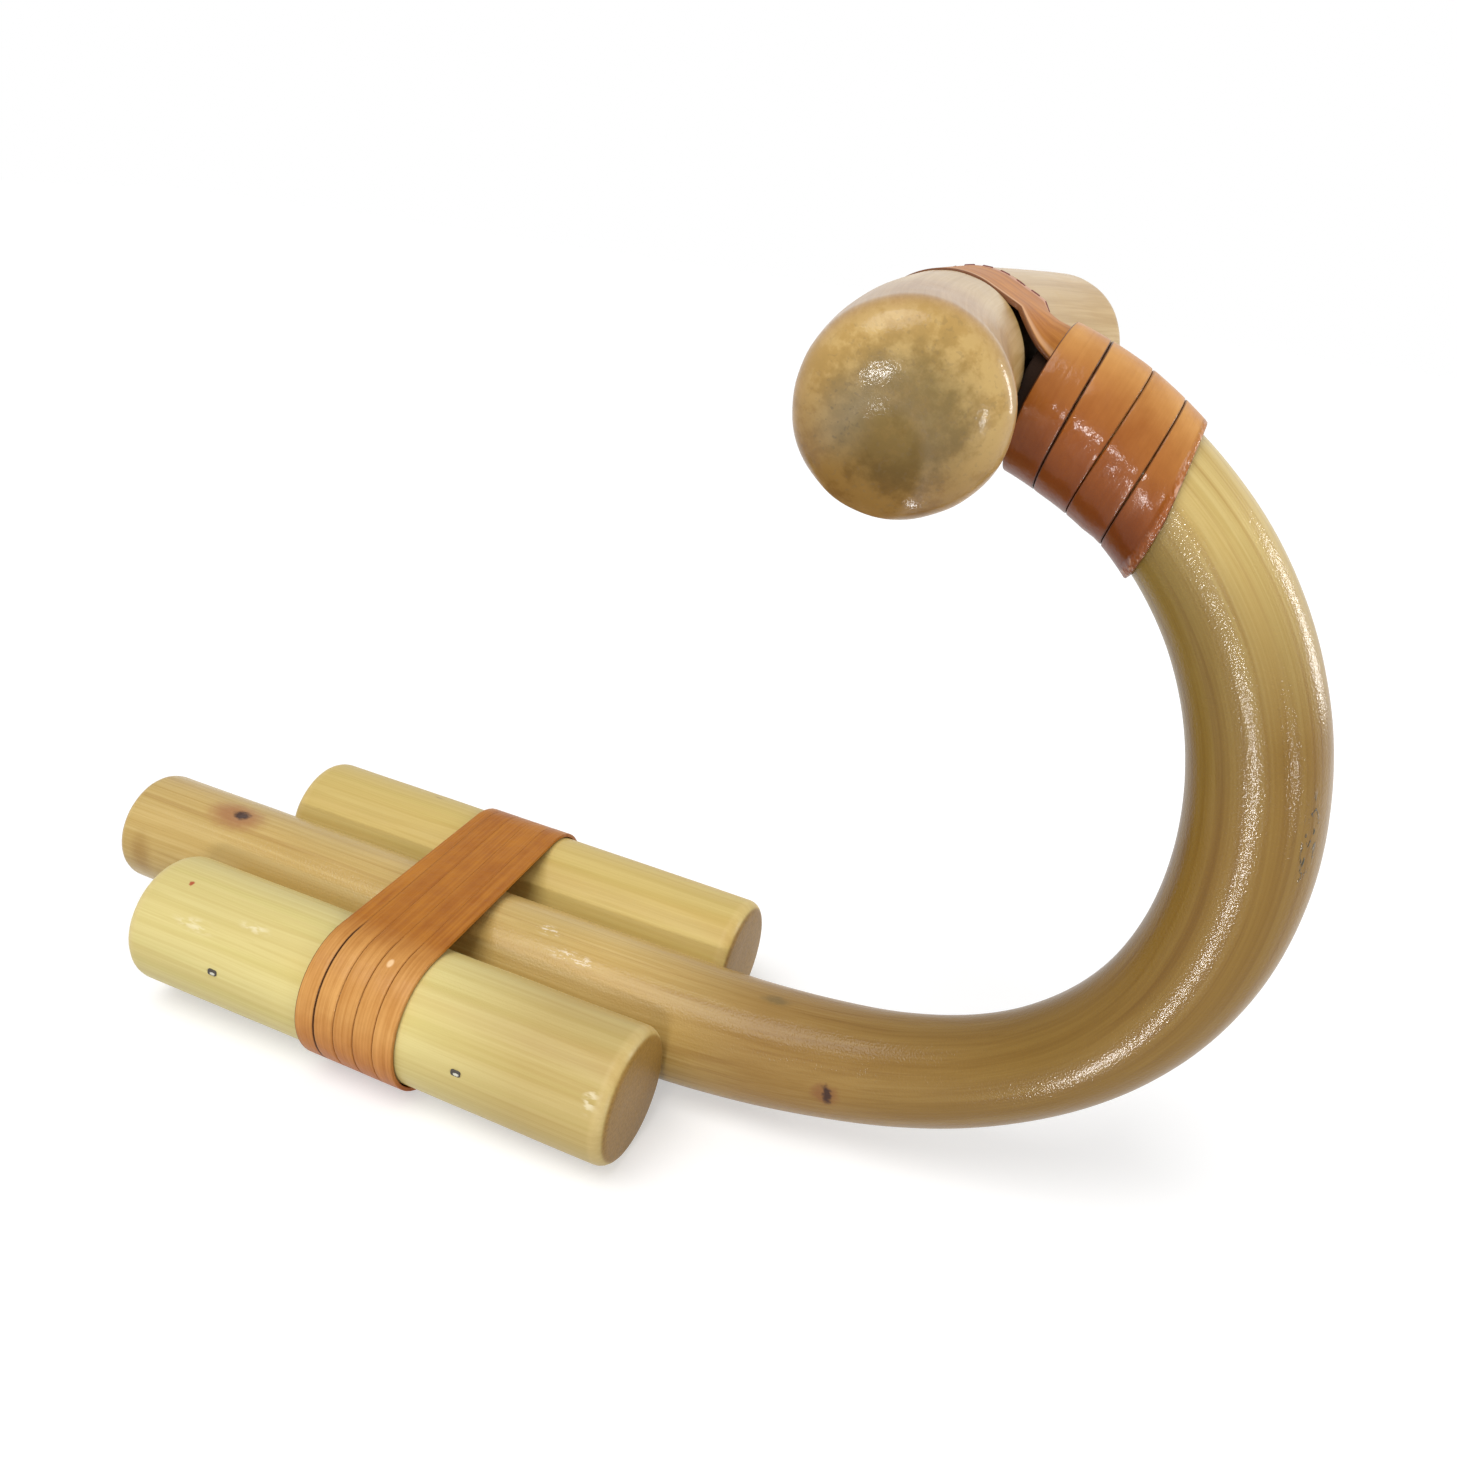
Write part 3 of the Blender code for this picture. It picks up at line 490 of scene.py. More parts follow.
def stem_material(colours, sizes):
    look = Finish("stem_cane")
    along, _, up = look.parts
    # The bend took up more varnish than the foot. Painted shade darkens the crook's inner side,
    # and painted light and a painted highlight make its outer side paler near the tip.
    shared = [(0.0, colours.stem_foot), (0.17, colours.stem_foot), (0.22, colours.stem_rise)]
    shared += [(0.30, colours.stem_bend), (0.38, colours.stem_bend)]
    inner = look.shades(along, [*shared, (0.45, colours.stem_inner_shaded)])
    outer = look.shades(along, [*shared, (0.405, colours.stem_bend), (0.45, colours.stem_outer_lit)])
    base = look.mix(look.between(up, 0.006, -0.008), inner, outer)
    base, fibres = cane_grain(look, base, 0.62)
    veins = look.clouds((3.0, 480.0, 480.0), place=(0.7, 0, 0))
    base = look.tinted(base, (0.66, 0.52, 0.36), look.between(veins, 0.56, 0.68), 0.35)
    ragged = look.shaken((500.0, 700.0, 700.0), 0.0024)
    for place, size, ring in (
        ((0.0360, -0.0038, 0.0171), (0.0135, 0.0075, 0.0080), (0.36, 0.155, 0.060)),
        ((0.2408, -0.0159, -0.0002), (0.0052, 0.0050, 0.0044), (0.24, 0.10, 0.030)),
    ):
        base = knot(look, base, ragged, place, size, ring)
    # A dark patch on the top, and a stain by the foot end.
    patch = look.mark((0.2218, -0.0023, 0.0166), (0.0062, 0.0026, 0.0035), 0.2, ragged)
    base = look.painted(base, (0.17, 0.115, 0.040), patch, 0.7)
    stain = look.mark((0.0090, -0.0174, -0.0006), (0.0060, 0.0060, 0.0120), 0.1, ragged)
    base = look.tinted(base, (0.72, 0.62, 0.48), stain, 0.8)
    # Pits on the crook's outer side, where the bark was nicked.
    pitted = look.mark((0.3865, -0.0100, -0.0113), (0.0115, 0.0026, 0.0026))
    pits = look.times(look.between(look.clouds((420.0, 900.0, 900.0)), 0.56, 0.63), pitted)
    base = look.painted(base, (0.06, 0.055, 0.03), pits)
    # Painted highlight beside the foot lashing: short pale dashes along the cane, where the key light
    # glints in the varnish.
    flecks = look.between(look.clouds((420.0, 1500.0, 1500.0)), 0.52, 0.60)
    painted_glint = (0.84, 0.74, 0.58)
    places = [
        ((0.1498, -0.0045, 0.0173), (0.0050, 0.0026, 0.0026), 0.2, painted_glint, 0.75),
        ((0.1610, -0.0098, 0.0150), (0.0110, 0.0026, 0.0026), 0.2, painted_glint, 0.75),
    ]
    base = scuffs_and_glints(look, base, flecks, places)
    # The cut foot, and painted shade round the tip, where it sits in the gap under the cross roll.
    base = look.painted(base, colours.end_grain, look.between(along, 0.0014, 0.0006))
    tip_shade = look.between(along, sizes.length - 0.0044, sizes.length - 0.0028)
    base = look.painted(base, (0.030, 0.016, 0.010), tip_shade)
    dents = look.bump(look.minus(0.0, pits), 0.0008)
    normal = varnish_ripple(look, fibres, 1.0, dents)
    roughness = look.plus(look.uneven(fibres, 0.14, 0.30), look.times(tip_shade, 0.6))
    look.varnish(look.times(look.minus(1.0, tip_shade), 0.30), roughness=0.10, level=0.12)
    return look.done(base, roughness, normal)


def roll_material(name, colours, stops, total, scuffs, spots_and_brad_shade):
    """Straw-yellow cane with worn scuffs and small dark marks, painted shade round the brads among them."""
    look = Finish(name)
    along = look.parts["X"]
    base, fibres = cane_grain(look, look.shades(along, stops), 0.40)
    green = look.clouds((7.0, 300.0, 300.0), 2.0, 0.5, (0.3, 0, 0))
    base = look.tinted(base, (0.93, 0.95, 0.82), look.between(green, 0.50, 0.70), 0.4)
    warm = look.clouds((14.0, 70.0, 70.0), 2.0, 0.5, (0.9, 0, 0))
    base = look.tinted(base, (1.0, 0.92, 0.80), look.between(warm, 0.50, 0.68), 0.5)
    flecks = look.between(look.clouds((240.0, 700.0, 700.0)), 0.44, 0.62)
    base = scuffs_and_glints(look, base, flecks, scuffs)
    ragged = look.shaken((900.0, 900.0, 900.0), 0.0010)
    for place, size, tone in spots_and_brad_shade:
        base = look.painted(base, tone, look.mark(place, size, 0.4, ragged))
    from_end = look.maths("MINIMUM", along, look.minus(total, along))
    # The rounded rim is paler on its outside and browner where it meets the cut face.
    rim = look.times(look.between(from_end, 0.0046, 0.0030), look.between(from_end, 0.0006, 0.0016))
    base = look.painted(base, (0.74, 0.56, 0.27), rim, 0.20)
    pores = look.between(look.clouds((200.0, 1100.0, 1100.0)), 0.36, 0.64)
    face = look.mix(pores, tuple(part * 0.80 for part in colours.end_grain), colours.end_grain)
    base = look.painted(base, face, look.between(from_end, 0.0010, 0.0003))
    look.varnish(0.08, roughness=0.16, level=0.15)
    return look.done(base, look.uneven(fibres, 0.15, 0.36), varnish_ripple(look, fibres, 0.5))


def dome_face(look, colours, mottle, wide, low):
    """The cross roll's ends: an ochre rim round a mottled olive middle with dark specks."""
    fine = look.clouds((500.0, 560.0, 560.0), 3.0)
    shaky = look.plus(wide, look.times(look.minus(mottle, 0.5), 0.012))
    rim = look.tinted(colours.cross_rim, (0.84, 0.78, 0.64), look.between(mottle, 0.58, 0.42))
    middle = look.tinted(colours.cross_middle, (0.84, 0.83, 0.78), look.between(mottle, 0.60, 0.40))
    middle = look.tinted(middle, (1.16, 1.12, 1.10), look.between(fine, 0.44, 0.62))
    face = look.painted(rim, middle, look.between(shaky, 0.0165, 0.0070), 0.85)
    # Painted shade: the face is darker towards its low side.
    face = look.tinted(face, (0.46, 0.36, 0.20), low)
    # A greyer patch low on the left of the middle, thick with specks.
    grey = look.mark((-0.079, -0.0035, 0.0095), (0.02, 0.0100, 0.0070), 0.2)
    face = look.painted(face, (0.31, 0.25, 0.15), grey, 0.35)
    crumbs = look.between(look.clouds((1000.0, 1100.0, 1100.0), 1.0, 0.5), 0.60, 0.70)
    inside = look.times(look.between(shaky, 0.0205, 0.0150), 0.35)
    crumbs = look.times(crumbs, look.maths("MAXIMUM", grey, inside))
    return look.painted(face, (0.15, 0.11, 0.06), crumbs, 0.6)


def cross_roll_material(colours, sizes):
    look = Finish("cross_roll_cane")
    along, outward, _ = look.parts
    base, fibres = cane_grain(look, colours.cross_side, 0.8)
    # The near end's side is chalkier than the far end's.
    base = look.tinted(base, (0.78, 0.67, 0.58), look.between(along, -0.035, -0.055), 0.9)
    flat = look.vectors("MULTIPLY", {0: look.straight, 1: (0.0, 1.0, 1.0)})[0]
    wide = look.vectors("LENGTH", {0: flat})["Value"]
    mottle = look.clouds((150.0, 170.0, 170.0), 4.0, 0.65)
    face = dome_face(look, colours, mottle, wide, look.between(outward, 0.010, -0.017))
    reach = look.maths("ABSOLUTE", along)
    from_end = look.minus(sizes.half_length, reach)
    blurred = look.plus(from_end, look.times(look.minus(mottle, 0.5), 0.006))
    base = look.painted(base, face, look.between(blurred, 0.0095, 0.0035))
    # Painted shade in the strap's groove, under the strap and beside its edges.
    groove_shade = look.between(wide, sizes.radius - 0.0002, sizes.radius - 0.0011)
    groove_shade = look.times(groove_shade, look.between(reach, sizes.half_length - 0.02, sizes.half_length - 0.03))
    base = look.painted(base, (0.05, 0.022, 0.012), groove_shade, 0.8)
    # The domes are worn dull below their middles, and so is the groove.
    worn = look.mark((-0.079, -0.0105, 0.0015), (0.02, 0.0145, 0.0100), 0.7)
    dull = look.maths("MAXIMUM", groove_shade, worn)
    roughness = look.plus(look.uneven(mottle, 0.14, 0.28), look.times(dull, 0.5))
    look.varnish(look.times(look.minus(1.0, dull), 0.35), roughness=0.12, level=0.12)
    return look.done(base, roughness, varnish_ripple(look, fibres, 0.25))


def seam_levels(look, loop, levels):
    """The level of the seam that a place on the strip is nearest to, counted from its start."""
    along, aside, _ = look.parts
    turns = look.maths("FLOOR", look.maths("DIVIDE", along, loop))
    number = look.minus(turns, look.maths("LESS_THAN", aside, 0.0))
    share = look.maths("DIVIDE", look.plus(number, 0.5), len(levels))
    ramp = look.put("ShaderNodeValToRGB", {"Fac": share})
    ramp.color_ramp.interpolation = "CONSTANT"
    elements = ramp.color_ramp.elements
    elements.remove(elements[1])
    for place, level in enumerate(levels):
        element = elements.new(place / len(levels)) if place else elements[0]
        element.color = (level, level, level, 1.0)
    return ramp.outputs["Color"]


def strip_material(name, colours, strip, tone_and_painted_light, levels, streak, gloss, shut=None, rolled=None, pale_spot=None):
    """Leather strip, from (half width, thickness, loop): streaks along it, mottled tone, seams.

    Tone and painted light are (part of a turn, tint) stops: the leather's tone, painted shade on the
    low sides and a painted highlight on the sides towards the light; levels are how dark the painted
    shade in its seams is; streak is how much of the tone lies in streaks; gloss is its varnish; shut is
    where the seams are closed; rolled is how many turns lie before the one whose outer edge is thick,
    with pale flecks painted on it as highlight; the pale spot is the place of a small pale orange spot.
    """
    half, thickness, loop = strip
    look = Finish(name)
    along, aside, up = look.parts
    turn = look.maths("FRACT", look.maths("DIVIDE", along, loop))
    streaks = look.clouds((16.0, 1300.0, 300.0), 3.0)
    mottle = look.clouds((120.0, 150.0, 150.0), 4.0)
    slow = look.clouds((22.0, 30.0, 30.0), 1.0, 0.5)
    tone = look.plus(look.times(streaks, streak), look.times(mottle, 0.30))
    tone = look.plus(tone, look.times(slow, 0.70 - streak))
    base = look.mix(look.between(tone, 0.26, 0.72), colours.leather_dark, colours.leather_light)
    # Tints round each turn, which hold tone and painted light and shade.
    base = look.tinted(base, look.shades(turn, tone_and_painted_light), 1.0)
    # Painted shade down in the seams between turns, on the strips' cut edges and lower sides.
    edge = look.between(look.maths("ABSOLUTE", aside), half - 0.00045, half - 0.00015)
    seam = look.maths("MAXIMUM", edge, look.between(up, thickness * 0.80, thickness * 0.45))
    if shut:
        first, last = shut
        closed = look.times(look.between(turn, first, first + 0.02), look.between(turn, last, last - 0.03))
        seam = look.times(seam, look.minus(1.0, look.times(closed, 0.85)))
    seam = look.times(seam, seam_levels(look, loop, levels))
    base = look.painted(base, (0.060, 0.020, 0.008), seam, 0.9)
    if pale_spot:
        base = look.painted(base, (0.90, 0.62, 0.34), look.mark(pale_spot, (0.0016, 0.0011, 0.0020)), 0.8)
    normal = look.bump(streaks, 0.00008, 0.5)
    normal = look.bump(look.clouds((260.0, 300.0, 300.0), 2.0, 0.5), 0.0005, 0.40, normal)
    if rolled:
        last_turn = look.between(along, loop * rolled, loop * (rolled + 0.1))
        rim = look.times(last_turn, look.between(aside, half - 0.0028, half - 0.0012))
        crumbs = look.clouds((420.0, 420.0, 420.0))
        base = look.painted(base, (0.34, 0.100, 0.025), rim, 0.5)
        # Pale flecks on the rim, painted as highlight.
        worn = look.times(rim, look.between(crumbs, 0.55, 0.68))
        base = look.painted(base, (0.78, 0.50, 0.36), worn, 0.5)
        normal = look.bump(look.times(crumbs, rim), 0.0012, 0.8, normal)
    normal = look.bump(look.clouds((1500.0, 1500.0, 1500.0)), 0.00008, 0.5, normal)
    look.varnish(gloss, roughness=0.12, level=0.08)
    return look.done(base, look.uneven(mottle, 0.20, 0.30), normal)


def strap_material(colours, lashings):
    """The strap's leather: painted shade along its near edge, and a pinkish border with stitches at its far
    edge.
    """
    look = Finish("strap_leather")
    aside = look.parts["Y"]
    half = lashings.strap_width / 2
    streaks = look.clouds((24.0, 520.0, 250.0), 3.0, 0.55)
    mottle = look.clouds((90.0, 120.0, 120.0), 4.0)
    base = look.tinted(colours.strap, (0.82, 0.74, 0.62), look.between(streaks, 0.62, 0.38))
    base = look.tinted(base, (0.86, 0.80, 0.74), look.between(mottle, 0.60, 0.40))
    border = look.between(aside, half - 0.0042, half - 0.0026)
    base = look.painted(base, colours.strap_border, border, 0.85)
    pale = look.between(aside, 0.0028 - half, 0.0016 - half)
    pale = look.times(pale, look.between(aside, 0.0006 - half, 0.0012 - half))
    base = look.painted(base, (0.74, 0.46, 0.26), pale, 0.55)
    # Painted shade: a dark line along the near edge.
    dark = look.between(aside, 0.0009 - half, 0.0004 - half)
    base = look.painted(base, (0.13, 0.045, 0.020), dark, 0.85)
    edge = look.between(aside, half - 0.0006, half - 0.0002)
    base = look.painted(base, (0.26, 0.11, 0.07), edge, 0.5)
    # The row of stitches lies in a groove.
    from_row = look.maths("ABSOLUTE", look.minus(aside, half - lashings.stitch_from_edge))
    normal = look.bump(look.between(from_row, 0.0, 0.0008), 0.0002, 0.9)
    normal = look.bump(look.clouds((240.0, 260.0, 260.0), 2.0, 0.5), 0.0004, 0.35, normal)
    normal = look.bump(look.clouds((1200.0, 1200.0, 1200.0)), 0.00008, 0.5, normal)
    look.varnish(0.08, roughness=0.22, level=0.15)
    return look.done(base, look.uneven(mottle, 0.22, 0.36), normal)


def steel_material():
    """Dull wire, pale where it was filed, and dark round the rim of a head as painted shade of a gap."""
    look = Finish("steel")
    grit = look.clouds((2600.0, 2600.0, 2600.0), 3.0)
    ragged = look.shaken((1500.0, 1500.0, 1500.0), 0.0006)
    filed = look.mark((0.0003, -0.0002, 0.0), (0.0011, 0.0005, 0.0020), 0.6, ragged)
    # Painted shade: the head is dark outside its filed middle.
    base = look.mix(filed, (0.055, 0.045, 0.035), (0.62, 0.60, 0.50))
    return look.done(base, look.uneven(grit, 0.3, 0.35), look.bump(grit, 0.00008, 0.7), 0.25)


def hidden_steel_material():
    """Grey steel for the tacks under the head lashing."""
    look = Finish("hidden_steel")
    grit = look.clouds((2000.0, 2000.0, 2000.0), 3.0, vector=look.own_place())
    base = look.mix(grit, (0.10, 0.09, 0.08), (0.42, 0.40, 0.37))
    return look.done(base, look.uneven(grit, 0.3, 0.3), look.bump(grit, 0.00005), 1.0)


def thread_material(colours):
    look = Finish("thread")
    thread_place = look.scaled(look.straight, (1900.0, 1500.0, 1500.0))
    inputs = {"Vector": thread_place, "Scale": 1.0, "Distortion": 1.0}
    twist = look.put("ShaderNodeTexWave", inputs, bands_direction="DIAGONAL").outputs["Fac"]
    base = look.mix(twist, colours.thread, tuple(min(1.0, 2.0 * part) for part in colours.thread))
    return look.done(base, look.uneven(twist, 0.1, 0.6), look.bump(twist, 0.0001))


def dowel_material():
    """Plain hardwood for the hidden dowel."""
    look = Finish("dowel_wood")
    grain = look.clouds((500.0, 500.0, 90.0), 3.0, vector=look.own_place())
    base = look.mix(grain, (0.52, 0.36, 0.19), (0.74, 0.58, 0.38))
    return look.done(base, look.uneven(grain, 0.1, 0.55), look.bump(grain, 0.0001))


# Making pieces.


def smooth(values):
    """Eases from 0 to 1 as the values go from 0 to 1."""
    held = np.clip(values, 0.0, 1.0)
    return held * held * (3.0 - 2.0 * held)


def add_piece(name, shape, place, material, nodes=()):
    """Keeps the shape's straight coordinates, moves it to its place and makes it a piece."""
    layer = shape.verts.layers.float_vector.new(STRAIGHT)
    straight = np.array([vertex.co for vertex in shape.verts])
    for vertex, own, moved in zip(shape.verts, straight, place(straight)):
        vertex[layer] = Vector(own)
        vertex.co = moved
    bmesh.ops.recalc_face_normals(shape, faces=shape.faces)
    mesh = bpy.data.meshes.new(name)
    shape.to_mesh(mesh)
    shape.free()
    mesh.shade_smooth()
    mesh.set_sharp_from_angle(angle=math.radians(40))
    mesh.materials.append(material)
    piece = bpy.data.objects.new(name, mesh)
    bpy.context.scene.collection.objects.link(piece)
    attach(piece, BODY)
    if nodes:
        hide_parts(*nodes)


def turned_shape(profile, sides):
    """A closed solid turned about X from (distance, radius) points, which begin and end on the axis."""
    shape = bmesh.new()
    points = [shape.verts.new((distance, 0.0, radius)) for distance, radius in profile]
    for first, last in zip(points, points[1:]):
        shape.edges.new((first, last))
    bmesh.ops.spin(
        shape,
        geom=shape.verts[:] + shape.edges[:],
        cent=(0, 0, 0),
        axis=(1, 0, 0),
        dvec=(0, 0, 0),
        angle=TURN,
        steps=sides,
        use_merge=True,
    )
    bmesh.ops.remove_doubles(shape, verts=shape.verts, dist=1e-6)
    return shape


def rounded_edge(edge, steps=6):
    """(distance from the end, drop below the radius) points of a quarter-round edge."""
    angles = [math.pi / 2 * step / steps for step in range(steps + 1)]
    return [(edge * (1 - math.cos(angle)), edge * (1 - math.sin(angle))) for angle in angles]


def cane_profile(total, radius_at, first_edge, last_edge, step):
    """(distance, radius) points of a cane with flat ends and rounded edges."""
    length_between = total - first_edge - last_edge
    rings = round(length_between / step)
    body = [first_edge + length_between * ring / rings for ring in range(1, rings)]
    first, last = radius_at(0.0), radius_at(total)
    start = [(0.0, 0.0), (0.0, (first - first_edge) / 2)]
    start += [(along, first - drop) for along, drop in rounded_edge(first_edge)]
    end = [(total - along, last - drop) for along, drop in reversed(rounded_edge(last_edge))]
    end += [(total, (last - last_edge) / 2), (total, 0.0)]
    return start + [(along, radius_at(along)) for along in body] + end


def round_edges(shape, edges, offset, segments):
    settings = {"offset_type": "OFFSET", "profile": 0.5, "affect": "EDGES", "material": -1}
    bmesh.ops.bevel(shape, geom=edges, offset=offset, segments=segments, **settings)


def roughen(shape, depth, seed):
    """Makes a turned cane slightly uneven, as grown, without moving its ends' middles."""
    shift = Vector((seed * 7.3, seed * 3.1, seed * 5.7))
    for vertex in shape.verts:
        along, aside, up = vertex.co
        swell = noise.noise(Vector((along * 22, aside * 60, up * 60)) + shift)
        swell += 0.4 * noise.noise(Vector((along * 60, aside * 200, up * 200)) + shift)
        wide = math.hypot(aside, up)
        if wide > 1e-6:
            factor = 1.0 + depth * (swell - 0.7) / max(wide, 0.010)
            vertex.co = (along, aside * factor, up * factor)


def dent(shape, place, size, depth):
    """Presses a small hollow into a turned cane."""
    for vertex in shape.verts:
        away = Vector((part / side for part, side in zip(vertex.co - Vector(place), size))).length
        if away < 1.0:
            inward = Vector((0.0, vertex.co.y, vertex.co.z)).normalized()
            vertex.co -= inward * depth * float(smooth(1.0 - away))


# The stem's axis.


def stem_bends(sizes):
    """(distance, curvature) where the stem's bend changes; it runs evenly between them."""
    radii = (sizes.ease_bend, sizes.heel_bend, sizes.tight_bend, sizes.crook_bend)
    found = [(0.0, 0.0), (sizes.foot_run, 0.0)]
    for number, radius in enumerate(radii):
        found.append((sizes.foot_run + sizes.ease_run + number * sizes.bend_step, 1.0 / radius))
    found.append((sizes.length, 1.0 / sizes.tip_bend))
    return np.array(found).T


def stem_radius(sizes, distance):
    """The cane's radius at distances from its foot end."""
    stations = (
        (0.0, sizes.foot_radius),
        (sizes.swell_start, sizes.swell_radius),
        (sizes.swell_start + sizes.swell_length, sizes.swell_radius),
        (sizes.tight_at, sizes.tight_radius),
        (sizes.crook_at, sizes.crook_radius),
        (sizes.length, sizes.tip_radius),
    )
    radius = np.full_like(np.asarray(distance, float), stations[0][1])
    for (start, first), (end, last) in zip(stations, stations[1:]):
        radius = radius + (last - first) * smooth((distance - start) / (end - start))
    return radius


def running_total(values, steps):
    return np.concatenate(([0.0], np.cumsum((values[1:] + values[:-1]) / 2 * steps)))


def stem_axis(sizes, step=0.0005):
    """Distances along the stem, with its axis's x, z and heading at each, in the frame."""
    foot, out = mount("stem_foot_face")
    distances = np.linspace(0.0, sizes.length, round(sizes.length / step) + 1)
    steps = np.diff(distances)
    headings = running_total(np.interp(distances, *stem_bends(sizes)), steps)
    headings += math.atan2(-out.z, -out.x)
    across = foot.x + running_total(np.cos(headings), steps)
    up = foot.z + running_total(np.sin(headings), steps)
    return distances, across, up, headings


def along_stem(sizes, points):
    """Bends straight points (distance, aside, towards the crook's inner side) into place."""
    distances, across, up, headings = stem_axis(sizes)
    heading = np.interp(points[:, 0], distances, headings)
    x = np.interp(points[:, 0], distances, across) - np.sin(heading) * points[:, 2]
    z = np.interp(points[:, 0], distances, up) + np.cos(heading) * points[:, 2]
    return np.column_stack((x, points[:, 1], z))


def stem_tip(sizes):
    """The tip's centre, the direction along the stem there, and the crook's outward direction."""
    _, across, up, headings = stem_axis(sizes)
    along = Vector((math.cos(headings[-1]), 0.0, math.sin(headings[-1])))
    outward = Vector((along.z, 0.0, -along.x))
    return Vector((across[-1], 0.0, up[-1])), along, outward


class YOKE_OT_stem(bpy.types.Operator):
    """Model the bent cane stem"""

    bl_idname = "yoke.stem"
    bl_label = "Bent Stem"

    def execute(self, context):
        sizes = context.scene.yoke_stem

        def radius_at(distance):
            return float(stem_radius(sizes, distance))

        def place(points):
            return along_stem(sizes, points)

        profile = cane_profile(sizes.length, radius_at, sizes.edge, sizes.tip_edge, STEM_RING_STEP)
        stem = turned_shape(profile, CANE_SIDES)
        roughen(stem, depth=0.00022, seed=1)
        # The two knots' eyes.
        dent(stem, (0.0358, -0.0034, 0.0171), (0.0045, 0.0030, 0.005), depth=0.0006)
        dent(stem, (0.2412, -0.0159, 0.0), (0.0030, 0.004, 0.0028), depth=0.0005)
        material = stem_material(context.scene.yoke_colours, sizes)
        add_piece("bent_stem", stem, place, material, ["bent_cane_stem"])
        return {"FINISHED"}


# Side rolls.


def beside_foot(side):
    """Moves straight points to a side roll's place: X along it, Z up."""
    start, out = mount(f"{side}_roll_foot_face")
    along = -out
    up = along.cross(Vector((0, 1, 0)))
    axes = np.array((along, Vector((0, 1, 0)), up))
    return lambda points: points @ axes + np.array(start)


def brad_places(rolls, fasteners, side):
    """Where the brads' heads lie on a side roll, in its straight coordinates."""
    rise = fasteners.brad_rise
    sign = -1.0 if side == "near" else 1.0
    out = Vector((0.0, sign * math.cos(rise), math.sin(rise)))
    return [
        (Vector((along, 0.0, 0.0)) + out * rolls.radius, out)
        for along in (fasteners.first_brad, fasteners.second_brad)
    ]


class YOKE_OT_side_rolls(bpy.types.Operator):
    """Model the two rolls along the foot"""

    bl_idname = "yoke.side_rolls"
    bl_label = "Side Rolls"

    def execute(self, context):
        scene = context.scene
        rolls, colours, fasteners = scene.yoke_rolls, scene.yoke_colours, scene.yoke_fasteners
        ends = {"near": colours.ripe_roll, "far": colours.far_roll}
        starts = {"near": colours.near_roll, "far": colours.far_roll}
        chalky, brown = (0.88, 0.80, 0.58), (0.30, 0.19, 0.08)
        scuffs = {
            "near": [
                ((0.0225, -0.0144, 0.0122), (0.0095, 0.0024, 0.0030), 0.1, chalky, 0.45),
                ((0.0401, -0.0106, 0.0157), (0.0070, 0.0022, 0.0022), 0.1, chalky, 0.45),
                ((0.1492, -0.0166, 0.0093), (0.0030, 0.0030, 0.0060), 0.1, chalky, 0.6),
            ],
            "far": [
                ((0.0436, 0.0043, 0.0185), (0.0036, 0.0010, 0.0020), 0.1, brown, 0.7),
                ((0.0836, 0.0020, 0.0190), (0.0024, 0.0010, 0.0020), 0.1, brown, 0.5),
            ],
        }
        red = ((0.0133, -0.0056, 0.0181), (0.0010, 0.0011, 0.0020), (0.42, 0.10, 0.04))
        spots_and_brad_shade = {"near": [red], "far": []}
        for side, total, seed in (("near", rolls.near_length, 5), ("far", rolls.far_length, 6)):
            profile = cane_profile(total, lambda at: rolls.radius, rolls.edge, rolls.edge, ROLL_RING_STEP)
            shape = turned_shape(profile, CANE_SIDES)
            roughen(shape, depth=0.00020, seed=seed)
            # Painted shade round each brad's head, dark as a gap about it.
            for place, _ in brad_places(rolls, fasteners, side):
                spots_and_brad_shade[side].append((tuple(place), (0.0021, 0.0030, 0.0012), (0.16, 0.10, 0.045)))
            stops = ((0.0, starts[side]), (0.095, starts[side]), (0.130, ends[side]))
            material = roll_material(f"{side}_roll_cane", colours, stops, total, scuffs[side], spots_and_brad_shade[side])
            add_piece(f"{side}_roll", shape, beside_foot(side), material, [f"{side}_side_roll"])
        return {"FINISHED"}


# Cross roll.


def cross_roll_drop(sizes, offset):
    """How far the roll's axis drops back at offsets from its middle."""
    return sizes.arch_radius - np.sqrt(sizes.arch_radius**2 - offset**2)


def cross_roll_radius(sizes, aside, offset):
    """The roll's radius at an offset from its middle, with the strap's groove and a dome at each end."""
    barrel = sizes.radius + (sizes.end_radius - sizes.radius) * (offset / sizes.half_length) ** 2
    from_groove = (abs(offset - aside) - sizes.groove_half_width) / sizes.groove_side
    barrel -= sizes.groove_depth * (1.0 - min(max(from_groove, 0.0), 1.0))
    from_end = max(sizes.half_length - abs(offset), 0.0)
    if from_end >= sizes.dome_depth:
        return barrel
    full = 1.0 - (1.0 - from_end / sizes.dome_depth) ** sizes.dome_power
    return barrel * full ** (1.0 / sizes.dome_power)


def cross_roll_hub(stem, sizes):
    """The middle of the cross roll's axis."""
    tip, along, _ = stem_tip(stem)
    drop = float(cross_roll_drop(sizes, stem.tip_radius))
    return tip + along * (sizes.radius - sizes.groove_depth + drop + sizes.tip_gap)


def across_tip(stem, sizes, points):
    """Arches straight points (offset along the roll, outward, back) over the stem's tip."""
    _, along, outward = stem_tip(stem)
    offset = points[:, 0]
    lean = np.arcsin(offset / sizes.arch_radius)
    lift = np.cos(lean) * points[:, 2] - cross_roll_drop(sizes, offset)
    placed = np.array(cross_roll_hub(stem, sizes)) + np.outer(lift, along)
    placed += np.outer(points[:, 1], outward)
    placed[:, 1] += offset + np.sin(lean) * points[:, 2]
    return placed


